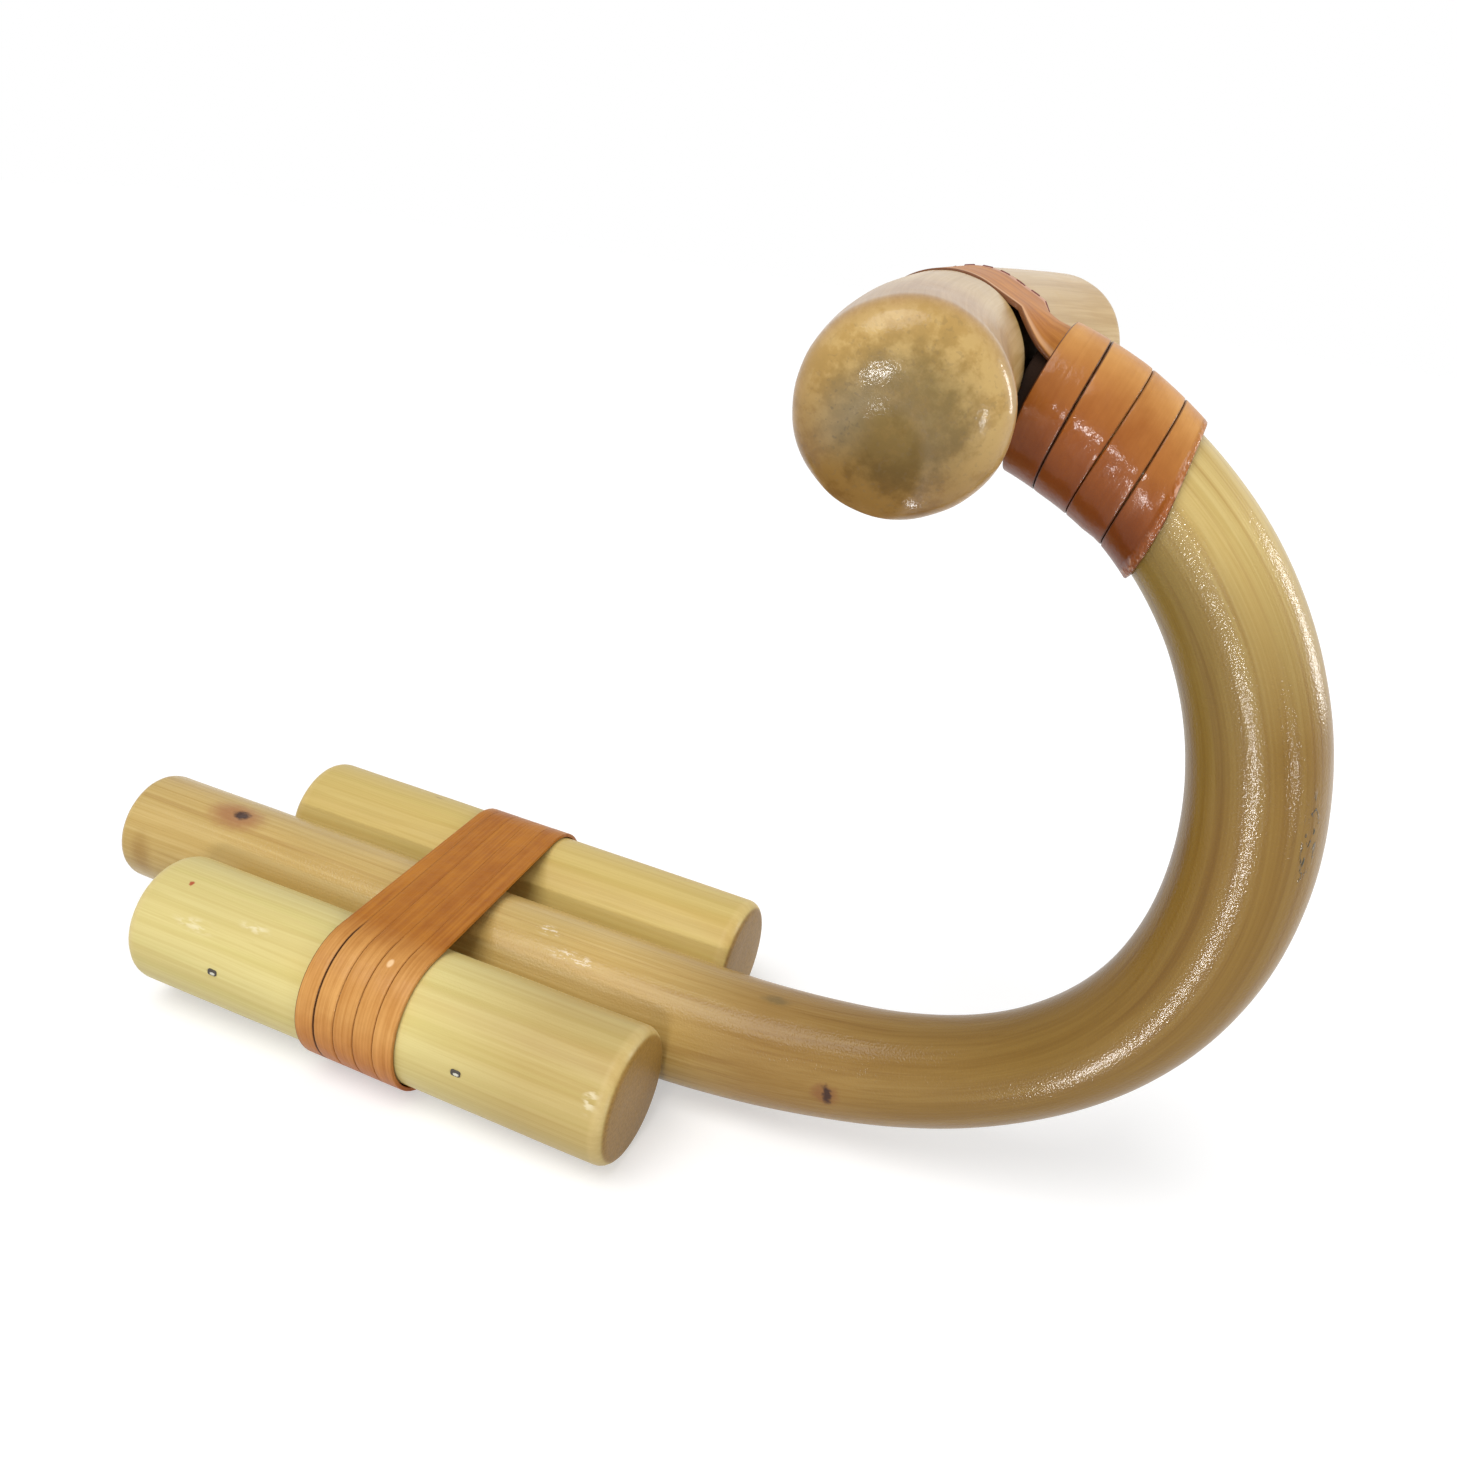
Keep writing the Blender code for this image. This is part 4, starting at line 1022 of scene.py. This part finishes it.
class YOKE_OT_cross_roll(bpy.types.Operator):
    """Model the arched cross roll"""

    bl_idname = "yoke.cross_roll"
    bl_label = "Cross Roll"

    def execute(self, context):
        scene = context.scene
        stem, sizes, aside = scene.yoke_stem, scene.yoke_cross_roll, scene.yoke_lashings.strap_aside
        body = sizes.half_length - sizes.dome_depth
        # The dome's stations crowd towards its end, where it turns fastest.
        shares = [math.sin(math.pi / 2 * step / DOME_RINGS) for step in range(1, DOME_RINGS + 1)]
        dome = [body + sizes.dome_depth * share for share in shares]
        rings = range(-CROSS_ROLL_RINGS, CROSS_ROLL_RINGS + 1)
        offsets = [body * ring / CROSS_ROLL_RINGS for ring in rings]
        for side in (-1, 1):
            wall = aside + side * sizes.groove_half_width
            offsets += [wall + side * sizes.groove_side * part for part in (0.0, 0.25, 0.5, 0.75, 1.0)]
        offsets = sorted([-offset for offset in dome] + offsets + dome)
        profile = [(offset, cross_roll_radius(sizes, aside, offset)) for offset in offsets]
        roll = turned_shape(profile, CROSS_ROLL_SIDES)
        roughen(roll, depth=0.00025, seed=9)

        def place(points):
            return across_tip(stem, sizes, points)

        material = cross_roll_material(scene.yoke_colours, sizes)
        add_piece("arched_roll", roll, place, material, ["cross_roll"])
        return {"FINISHED"}


# Leather strips.


def lengthwise_edges(strip, total, level=None):
    """The strip's edges along X, or only those at a level."""
    found = []
    for edge in strip.edges:
        first, last = (vertex.co for vertex in edge.verts)
        if abs(first.x - last.x) > total / 2 and (level is None or abs(first.z - level) < 1e-6):
            found.append(edge)
    return found


def strip_shape(total, width, thickness, rounding, cuts, columns):
    """A straight strip along X from 0, centred on Y, with its underside at Z 0 and rounded edges."""
    strip = bmesh.new()
    bmesh.ops.create_cube(strip, size=1.0)
    bmesh.ops.translate(strip, verts=strip.verts, vec=(0.5, 0.0, 0.5))
    bmesh.ops.scale(strip, verts=strip.verts, vec=(total, width, thickness))
    for level, offset, segments in ((thickness, rounding, 4), (0.0, rounding / 3, 1)):
        round_edges(strip, lengthwise_edges(strip, total, level), offset, segments)
    inner = width - 2 * rounding
    for column in range(1, columns):
        aside = inner * (column / columns - 0.5)
        everything = strip.verts[:] + strip.edges[:] + strip.faces[:]
        bmesh.ops.bisect_plane(strip, geom=everything, dist=1e-7, plane_co=(0, aside, 0), plane_no=(0, 1, 0))
    bmesh.ops.subdivide_edges(strip, edges=lengthwise_edges(strip, total), cuts=cuts)
    return strip


def wind(surface, turns, loop, width, seam, shut=None):
    """Winds a straight strip: surface(at, turn) gives points and the directions out of them.

    The strip is cut to half its width at its start and end, so that the lashing's edges are square.
    Shut is (first, last, thickness): between those parts of a turn its edges are pressed flat.
    """

    def place(points):
        turn = points[:, 0] / loop
        aside = points[:, 1] / width * (1.0 - seam(turn) / width) + 0.5
        first = np.maximum((turn - 0.5) / turns, 0.0)
        last = np.minimum((turn + 0.5) / turns, 1.0)
        at = first + (last - first) * aside
        on, out = surface(at, turn)
        height = points[:, 2]
        if shut:
            start, end, thickness = shut
            part = turn % 1.0
            pressed = smooth((part - start) / SEAM_OPENING) * smooth((end - part) / SEAM_OPENING)
            pressed = pressed * (height > thickness / 2) * (at > FREE_EDGE) * (at < 1.0 - FREE_EDGE)
            height = height + (thickness - height) * pressed
        return on + out * height[:, None]

    return place


def foot_lashing_surface(lashings, rolls):
    """The loop round the foot and its rolls, from the far side over the top, and its length."""
    radius = rolls.radius + lashings.gap
    near = np.array(mount("near_roll_foot_face")[0])
    far = np.array(mount("far_roll_foot_face")[0])
    along = -np.array(mount("near_roll_foot_face")[1])
    across = np.array((0.0, 1.0, 0.0))
    up = np.cross(along, across)
    half = (far[1] - near[1]) / 2
    middle = near - across * near[1] + along * lashings.foot_from_end
    quarter, span = radius * math.pi / 2, 2 * half
    loop = 4 * quarter + 2 * span

    def surface(at, turn):
        travel = (turn % 1.0) * loop
        stops = np.array((0.0, quarter, quarter + span, 3 * quarter + span, 3 * quarter + 2 * span, loop))
        angle = np.interp(travel, stops, np.array((0.0, 0.5, 0.5, 1.5, 1.5, 2.0)) * math.pi)
        aside = np.interp(travel, stops, (half, half, -half, -half, half, half))
        out = np.outer(np.cos(angle), across) + np.outer(np.sin(angle), up)
        forward = lashings.foot_width * at - aside * math.tan(lashings.foot_skew)
        on = middle + np.outer(forward, along) + np.outer(aside, across) + out * radius
        return on, out

    return surface, loop


def under_head_lashing(stem, lashings, distance):
    """The radius that the head lashing lies on: the stem, the tails' pared ends, then the tails."""
    tail_end = stem.length - lashings.strap_tail
    pared = np.clip((distance - tail_end) / lashings.strap_skive, 0.0, 1.0)
    tail = lashings.strap_end_thickness + (lashings.strap_thickness - lashings.strap_end_thickness) * pared
    climb = smooth(1.0 + (distance - tail_end) / lashings.head_climb)
    return stem_radius(stem, distance) + lashings.gap + (tail + lashings.gap) * climb


def head_lashing_surface(stem, lashings):
    """The loop round the stem's tip, from the far side over the crook's outer side, and its length."""

    def surface(at, turn):
        angle = TURN * turn
        slant = lashings.head_slant * at**3 * np.sin(angle)
        top = stem.length - lashings.head_from_tip
        distance = top - lashings.head_length * at + slant
        radius = under_head_lashing(stem, lashings, distance)
        aside, inward = np.cos(angle), -np.sin(angle)
        on = along_stem(stem, np.column_stack((distance, aside * radius, inward * radius)))
        further = radius + 1.0
        beyond = along_stem(stem, np.column_stack((distance, aside * further, inward * further)))
        return on, beyond - on

    return surface, TURN * float(under_head_lashing(stem, lashings, stem.length))


class YOKE_OT_foot_lashing(bpy.types.Operator):
    """Wind the leather strip round the foot and its rolls"""

    bl_idname = "yoke.foot_lashing"
    bl_label = "Foot Lashing"

    def execute(self, context):
        scene = context.scene
        lashings, rolls, colours = scene.yoke_lashings, scene.yoke_rolls, scene.yoke_colours
        turns, thickness = lashings.foot_turns, lashings.foot_thickness
        surface, loop = foot_lashing_surface(lashings, rolls)
        width = lashings.foot_width / turns
        shape = strip_shape(
            loop * turns, width, thickness, rounding=0.0003, cuts=turns * 110, columns=4
        )

        def seam(turn):
            # The turns lie tight together over the top and part a little down the near side.
            part = turn % 1.0
            return FOOT_SEAM * (1.0 + smooth((part - 0.40) / 0.12) * smooth((1.0 - part) / 0.1))

        shut = (0.05, 0.40)
        levels = (1.0, 0.15, 0.22, 0.15, 0.15)
        # Tints round each turn: the top's own tone, a paler near side that is part worn leather and part
        # painted highlight, and painted shade lower down.
        top, side, low = (0.75, 0.62, 0.28), (1.04, 1.16, 1.35), (0.76, 0.46, 0.12)
        tone_and_painted_light = ((0.0, top), (0.37, top), (0.42, side), (0.48, side), (0.56, low))
        # A small pale orange spot on the near side of the fourth turn.
        pale_spot = (3.415 * loop, -0.0003, thickness)
        strip = (width / 2, thickness, loop)
        material = strip_material(
            "foot_leather", colours, strip, tone_and_painted_light, levels, streak=0.45, gloss=0.08, shut=shut, pale_spot=pale_spot
        )
        place = wind(surface, turns, loop, width, seam, (*shut, thickness))
        add_piece("foot_strip", shape, place, material, ["foot_lashing"])
        return {"FINISHED"}


class YOKE_OT_head_lashing(bpy.types.Operator):
    """Wind the leather strip round the stem's tip"""

    bl_idname = "yoke.head_lashing"
    bl_label = "Head Lashing"

    def execute(self, context):
        scene = context.scene
        lashings, stem, colours = scene.yoke_lashings, scene.yoke_stem, scene.yoke_colours
        turns, thickness = lashings.head_turns, lashings.head_thickness
        surface, loop = head_lashing_surface(stem, lashings)
        width = lashings.head_length / turns
        shape = strip_shape(
            loop * turns, width, thickness, rounding=0.0004, cuts=turns * 120, columns=6
        )
        # Tints round each turn: painted highlight past the crook's outer side, and painted shade on its near
        # and inner sides.
        tone_and_painted_light = (
            (0.22, (1.0, 1.0, 1.0)),
            (0.31, (1.05, 1.15, 1.20)),
            (0.40, (0.72, 0.62, 0.52)),
            (0.50, (0.50, 0.31, 0.12)),
            (0.60, (0.30, 0.14, 0.03)),
            (0.80, (0.30, 0.14, 0.03)),
            (0.95, (0.90, 0.85, 0.75)),
        )
        levels = (1.0, 0.45, 0.75, 1.0)
        strip = (width / 2, thickness, loop)
        material = strip_material(
            "head_leather", colours, strip, tone_and_painted_light, levels, streak=0.15, gloss=0.30, rolled=3
        )
        place = wind(surface, turns, loop, width, lambda turn: HEAD_SEAM)
        add_piece("head_strip", shape, place, material, ["head_lashing"])
        return {"FINISHED"}


# Sling strap.


def strap_cup(lashings, past_tip):
    """How far the strap still follows the stem's round side, at lengths past the tip."""
    return 1.0 - np.clip((past_tip + lashings.head_from_tip) / lashings.strap_cup, 0.0, 1.0)


def strap_route(stem, cross, lashings):
    """Arrays along the strap, from the outer tail's end over the cross roll to the inner tail's end:
    its middle line's x and z, the angle that it faces, its curvature across, and its thickness."""
    tip, along, outward = stem_tip(stem)
    distances, _, _, headings = stem_axis(stem)
    hub = cross_roll_hub(stem, cross)
    full = lashings.strap_thickness
    # A tail lies on the stem, pared thin towards its end.
    on_stem = np.linspace(stem.length - lashings.strap_tail, stem.length, 40)
    pared = np.clip((on_stem - on_stem[0]) / lashings.strap_skive, 0.0, 1.0)
    thin = lashings.strap_end_thickness + (full - lashings.strap_end_thickness) * pared
    reach = stem_radius(stem, on_stem) + lashings.gap + thin / 2
    beneath = np.interp(on_stem, distances, headings)
    flat = np.zeros_like(reach)
    tail_cup = strap_cup(lashings, on_stem - stem.length)
    outer = along_stem(stem, np.column_stack((on_stem, flat, -reach)))
    inner = along_stem(stem, np.column_stack((on_stem, flat, reach)))
    # It leaves the stem in a straight run, flattening out, and meets the roll's circle.
    reach_tip = stem.tip_radius + lashings.gap + full / 2
    wrap = cross_roll_radius(cross, lashings.strap_aside, lashings.strap_width / 2) + lashings.gap + full / 2
    setback = (hub - tip).dot(along)
    start = math.atan2(-setback, reach_tip) + math.acos(wrap / math.hypot(setback, reach_tip))
    leaving = tip + outward * reach_tip
    meets = hub + (outward * math.cos(start) + along * math.sin(start)) * wrap
    shares = np.linspace(0.0, 1.0, 30)[1:-1]
    run = np.array(leaving) + np.outer(shares, np.array(meets - leaving))
    run_length = (meets - leaving).length
    run_cup = strap_cup(lashings, run_length * shares)
    turned_over = np.linspace(start, math.pi - start, 90)
    over = np.array(hub) + wrap * (
        np.outer(np.cos(turned_over), np.array(outward)) + np.outer(np.sin(turned_over), np.array(along))
    )
    mirrored = run - 2 * np.outer((run - np.array(tip)) @ np.array(outward), np.array(outward))
    base = headings[-1] - math.pi / 2
    lean = start * (1.0 - run_cup / strap_cup(lashings, 0.0))
    middle = np.vstack((outer, run, over, mirrored[::-1], inner[::-1]))
    facing = np.concatenate(
        (
            beneath - math.pi / 2,
            base + lean,
            base + turned_over,
            base + math.pi - lean[::-1],
            beneath[::-1] + math.pi / 2,
        )
    )
    tail_curve, run_curve = tail_cup / reach, run_cup / reach_tip
    cup = np.concatenate((tail_curve, run_curve, 0 * turned_over, run_curve[::-1], tail_curve[::-1]))
    between_tails = np.full(2 * len(shares) + len(turned_over), full)
    thickness = np.concatenate((thin, between_tails, thin[::-1]))
    return middle, facing, cup, thickness


def strap_length(route):
    steps = np.diff(route[0], axis=0)
    return float(np.sqrt((steps**2).sum(axis=1)).sum())


def over_cross_roll(route, lashings):
    """Lays straight points (along, aside, height above the underside) on the strap's route."""
    full = lashings.strap_thickness
    middle, facing, cup, thickness = route
    steps = np.sqrt((np.diff(middle, axis=0) ** 2).sum(axis=1))
    so_far = np.concatenate(([0.0], np.cumsum(steps)))

    def place(points):
        along, aside, height = points.T
        angle = np.interp(along, so_far, facing)
        curve = np.maximum(np.interp(along, so_far, cup), 1e-6)
        lift = (height / full - 0.5) * np.interp(along, so_far, thickness)
        radius = 1.0 / curve + lift
        turn = (aside + lashings.strap_aside) * curve
        out = radius * np.cos(turn) - 1.0 / curve
        x = np.interp(along, so_far, middle[:, 0]) + out * np.cos(angle)
        z = np.interp(along, so_far, middle[:, 2]) + out * np.sin(angle)
        return np.column_stack((x, radius * np.sin(turn), z))

    return place


def stitches_shape(total, lashings):
    """A row of small capsules along the strap's far side."""
    row = bmesh.new()
    half, thick = lashings.stitch_length / 2, THREAD_RADIUS
    ends = [math.pi / 2 * step / 3 for step in range(4)]
    cap = [(half - thick * (1 - math.cos(angle)), thick * math.sin(angle)) for angle in ends]
    profile = [(-along, wide) for along, wide in cap] + [(along, wide) for along, wide in reversed(cap)]
    stitch = turned_shape(profile, 8)
    mesh = bpy.data.meshes.new("stitch")
    stitch.to_mesh(mesh)
    stitch.free()
    aside = lashings.strap_width / 2 - lashings.stitch_from_edge
    for number in range(1, int(total / lashings.stitch_spacing)):
        before = len(row.verts)
        row.from_mesh(mesh)
        row.verts.ensure_lookup_table()
        place = (number * lashings.stitch_spacing, aside, lashings.strap_thickness - STITCH_SINK)
        bmesh.ops.translate(row, verts=row.verts[before:], vec=place)
    bpy.data.meshes.remove(mesh)
    return row


class YOKE_OT_sling_strap(bpy.types.Operator):
    """Lay the stitched strap over the cross roll, with its tails on the stem"""

    bl_idname = "yoke.sling_strap"
    bl_label = "Sling Strap"

    def execute(self, context):
        scene = context.scene
        stem, cross, lashings = scene.yoke_stem, scene.yoke_cross_roll, scene.yoke_lashings
        route = strap_route(stem, cross, lashings)
        total = strap_length(route)
        width, thickness = lashings.strap_width, lashings.strap_thickness
        strap = strip_shape(total, width, thickness, rounding=0.0003, cuts=170, columns=24)
        place = over_cross_roll(route, lashings)
        material = strap_material(scene.yoke_colours, lashings)
        add_piece("sling_strap", strap, place, material, ["head_sling_strap"])
        stitches = stitches_shape(total, lashings)
        add_piece("strap_stitches", stitches, place, thread_material(scene.yoke_colours))
        return {"FINISHED"}


# Brads and tacks.


def brad_head_shape(fasteners):
    """An oblong brad head, its length along X and its top at Z 0, with hammered edges."""
    head = bmesh.new()
    bmesh.ops.create_cube(head, size=1.0)
    bmesh.ops.translate(head, verts=head.verts, vec=(0.0, 0.0, -0.5))
    size = (fasteners.brad_length, fasteners.brad_width, BRAD_DEPTH)
    bmesh.ops.scale(head, verts=head.verts, vec=size)
    upright = [edge for edge in head.edges if abs(edge.verts[0].co.z - edge.verts[1].co.z) > BRAD_DEPTH / 2]
    round_edges(head, upright, BRAD_CORNER, 4)
    upper = [edge for edge in head.edges if all(abs(vertex.co.z) < 1e-6 for vertex in edge.verts)]
    round_edges(head, upper, BRAD_EDGE, 3)
    return head


def tack_head_shape(fasteners):
    """A low domed head, turned about X with its underside at 0."""
    radius = fasteners.tack_radius
    angles = [math.pi / 2 * step / 6 for step in range(1, 6)]
    dome = [(TACK_RIM + TACK_DOME * math.sin(angle), radius * math.cos(angle)) for angle in angles]
    shank = [(-SHANK_DEPTH, 0.0), (-SHANK_DEPTH, SHANK_RADIUS), (0.0, SHANK_RADIUS)]
    rim = [(0.0, radius), (TACK_RIM, radius)]
    return turned_shape(shank + rim + dome + [(TACK_RIM + TACK_DOME, 0.0)], 24)


def pointing(point, direction, sideways):
    """Moves points so that local Z lies along the direction and local X near sideways."""
    upward = np.array(Vector(direction).normalized())
    aside = np.array(sideways) - upward * np.dot(sideways, upward)
    aside /= np.linalg.norm(aside)
    axes = np.array((aside, np.cross(upward, aside), upward))
    return lambda points: points @ axes + np.array(point)


def finish_node(name, material):
    """Gives a hidden node of the frame its material."""
    for slot in frame["nodes"][name].material_slots:
        slot.material = material


class YOKE_OT_fasteners(bpy.types.Operator):
    """Set the brads in the side rolls and the tacks on the strips' ends"""

    bl_idname = "yoke.fasteners"
    bl_label = "Brads and Tacks"

    def execute(self, context):
        scene = context.scene
        stem, lashings, rolls = scene.yoke_stem, scene.yoke_lashings, scene.yoke_rolls
        fasteners = scene.yoke_fasteners
        steel = steel_material()
        for side in ("near", "far"):
            to_frame = beside_foot(side)
            for number, (place, out) in enumerate(brad_places(rolls, fasteners, side), start=1):
                seat = pointing(place + out * BRAD_PROUD, out, (1.0, 0.0, 0.0))
                add_piece(
                    f"{side}_brad_{number}",
                    brad_head_shape(fasteners),
                    lambda points: to_frame(seat(points)),
                    steel,
                    [f"{side}_roll_brad_{number}"],
                )
        foot, head = foot_lashing_surface(lashings, rolls), head_lashing_surface(stem, lashings)
        for label, (surface, loop), turns, thickness in (
            ("foot", foot, lashings.foot_turns, lashings.foot_thickness),
            ("head", head, lashings.head_turns, lashings.head_thickness),
        ):
            inset = fasteners.tack_from_end / loop
            for end, turn, at in (("start", inset, 0.25 / turns), ("end", turns - inset, 1 - 0.25 / turns)):
                on, out = surface(np.array([at]), np.array([turn]))
                seat = pointing(on[0] + out[0] * thickness, out[0], (1.0, 0.0, 0.0))
                add_piece(
                    f"{label}_strip_{end}_tack",
                    tack_head_shape(fasteners),
                    lambda points: seat(points[:, (1, 2, 0)]),
                    steel,
                    [f"{label}_lashing_{end}_tack"],
                )
        hidden_steel = hidden_steel_material()
        for name in ("outer_strap_tack", "inner_strap_tack"):
            finish_node(name, hidden_steel)
        finish_node("cross_roll_dowel", dowel_material())
        return {"FINISHED"}


# Stage.


def seen_rays(nodes):
    """1 for rays that see the background: from the camera, in a reflection or through glass."""
    path = nodes.put("ShaderNodeLightPath", {}).outputs
    seen = nodes.maths("MAXIMUM", path["Is Camera Ray"], path["Is Glossy Ray"])
    return nodes.maths("MAXIMUM", seen, path["Is Transmission Ray"])


def floor_material(colours):
    """A pale matt floor, lifted to white for the rays that see it, which keeps its shadows."""
    look = Finish("floor")
    cloudy = look.clouds((3.0, 3.0, 3.0), 1.0, 0.5, vector=look.own_place())
    tint = look.mix(cloudy, colours.floor, tuple(part * 0.99 for part in colours.floor))
    for name, value in (("Base Color", tint), ("Roughness", 0.9), ("Specular IOR Level", 0.0)):
        look.feed(look.shader.inputs[name], value)
    glow = look.put("ShaderNodeEmission", {"Strength": look.times(seen_rays(look), 0.45)})
    both = look.put("ShaderNodeAddShader", {0: look.shader.outputs[0], 1: glow.outputs[0]})
    look.feed(look.tree.nodes["Material Output"].inputs["Surface"], both.outputs[0])
    return look.material


def light_world(scene, strength):
    """A plain grey sky to light by, and a white one to see."""
    world = bpy.data.worlds.new("studio")
    world.use_nodes = True
    nodes = Nodes(world.node_tree)
    sky = nodes.tree.nodes["Background"]
    nodes.feed(sky.inputs["Strength"], nodes.uneven(seen_rays(nodes), 1.0 - strength, strength))
    sky.inputs["Color"].default_value = (1.0, 1.0, 1.0, 1.0)
    scene.world = world


def set_down_lamp(name, lamp, place, toward):
    """Puts a lamp in the scene, facing a point."""
    holder = bpy.data.objects.new(name, lamp)
    bpy.context.scene.collection.objects.link(holder)
    holder.location = place
    holder.rotation_euler = (Vector(toward) - Vector(place)).to_track_quat("-Z", "Y").to_euler()
    return holder


def add_soft_box(name, place, toward, size, brightness):
    """A rectangular lamp; its brightness is its own, whatever its size."""
    lamp = bpy.data.lights.new(name, "AREA")
    lamp.shape = "RECTANGLE"
    lamp.size, lamp.size_y = size
    lamp.energy = brightness * math.pi * size[0] * size[1]
    holder = set_down_lamp(name, lamp, place, toward)
    holder.visible_camera = False
    return holder


def add_lamps(settings):
    """A soft sun, soft boxes towards the crook, and strips that only glint in its varnish."""
    key = bpy.data.lights.new("key_light", "SUN")
    key.energy, key.angle = settings.key_energy, settings.key_angle
    set_down_lamp("key_light", key, settings.key_place, (0.0, 0.0, 0.0))
    for name, place, size, brightness in SOFT_BOXES:
        add_soft_box(name, place, CROOK, size, brightness)
    for number, ((x, y), size) in enumerate(GLINT_STRIPS):
        place, above = (x, y, GLINT_HEIGHT), (x, y, 1.0)
        strip = add_soft_box(f"glint_strip_{number}", place, above, size, GLINT_BRIGHTNESS)
        strip.visible_diffuse = False


class YOKE_OT_stage(bpy.types.Operator):
    """Set up the floor, the lights and the camera"""

    bl_idname = "yoke.stage"
    bl_label = "Stage"

    def execute(self, context):
        scene = context.scene
        settings = scene.yoke_stage
        floor_shape = bmesh.new()
        bmesh.ops.create_grid(floor_shape, x_segments=1, y_segments=1, size=settings.floor_size / 2)
        mesh = bpy.data.meshes.new("floor")
        floor_shape.to_mesh(mesh)
        floor_shape.free()
        mesh.materials.append(floor_material(scene.yoke_colours))
        floor = bpy.data.objects.new("floor", mesh)
        scene.collection.objects.link(floor)
        light_world(scene, settings.sky)
        add_lamps(settings)
        camera = bpy.data.objects.new("camera", bpy.data.cameras.new("camera"))
        camera.data.lens = settings.lens
        camera.location = settings.camera_place
        camera.rotation_euler = settings.camera_turn
        scene.collection.objects.link(camera)
        scene.camera = camera
        scene.view_settings.view_transform = "Standard"
        return {"FINISHED"}


# Panel and registration.

OPERATORS = (
    YOKE_OT_stage,
    YOKE_OT_stem,
    YOKE_OT_side_rolls,
    YOKE_OT_cross_roll,
    YOKE_OT_sling_strap,
    YOKE_OT_foot_lashing,
    YOKE_OT_head_lashing,
    YOKE_OT_fasteners,
)


class VIEW3D_PT_yoke_hook(bpy.types.Panel):
    """The pieces of the yoke hook and their settings"""

    bl_label = "Yoke Hook"
    bl_space_type = "VIEW_3D"
    bl_region_type = "UI"
    bl_category = "Yoke Hook"

    def draw(self, context):
        for operator in OPERATORS:
            self.layout.operator(operator.bl_idname)
        for name, group in GROUPS.items():
            box = self.layout.box()
            box.label(text=group.__doc__)
            settings = getattr(context.scene, name)
            for key in group.__annotations__:
                box.prop(settings, key)


CLASSES = (*GROUPS.values(), *OPERATORS, VIEW3D_PT_yoke_hook)


def register():
    for made in CLASSES:
        bpy.utils.register_class(made)
    for name, group in GROUPS.items():
        setattr(bpy.types.Scene, name, PointerProperty(type=group))


def unregister():
    for name in GROUPS:
        delattr(bpy.types.Scene, name)
    for made in reversed(CLASSES):
        bpy.utils.unregister_class(made)


def main():
    register()
    bpy.ops.yoke.stage()
    bpy.ops.yoke.stem()
    bpy.ops.yoke.side_rolls()
    bpy.ops.yoke.cross_roll()
    bpy.ops.yoke.sling_strap()
    bpy.ops.yoke.foot_lashing()
    bpy.ops.yoke.head_lashing()
    bpy.ops.yoke.fasteners()


if __name__ == "__main__":
    main()
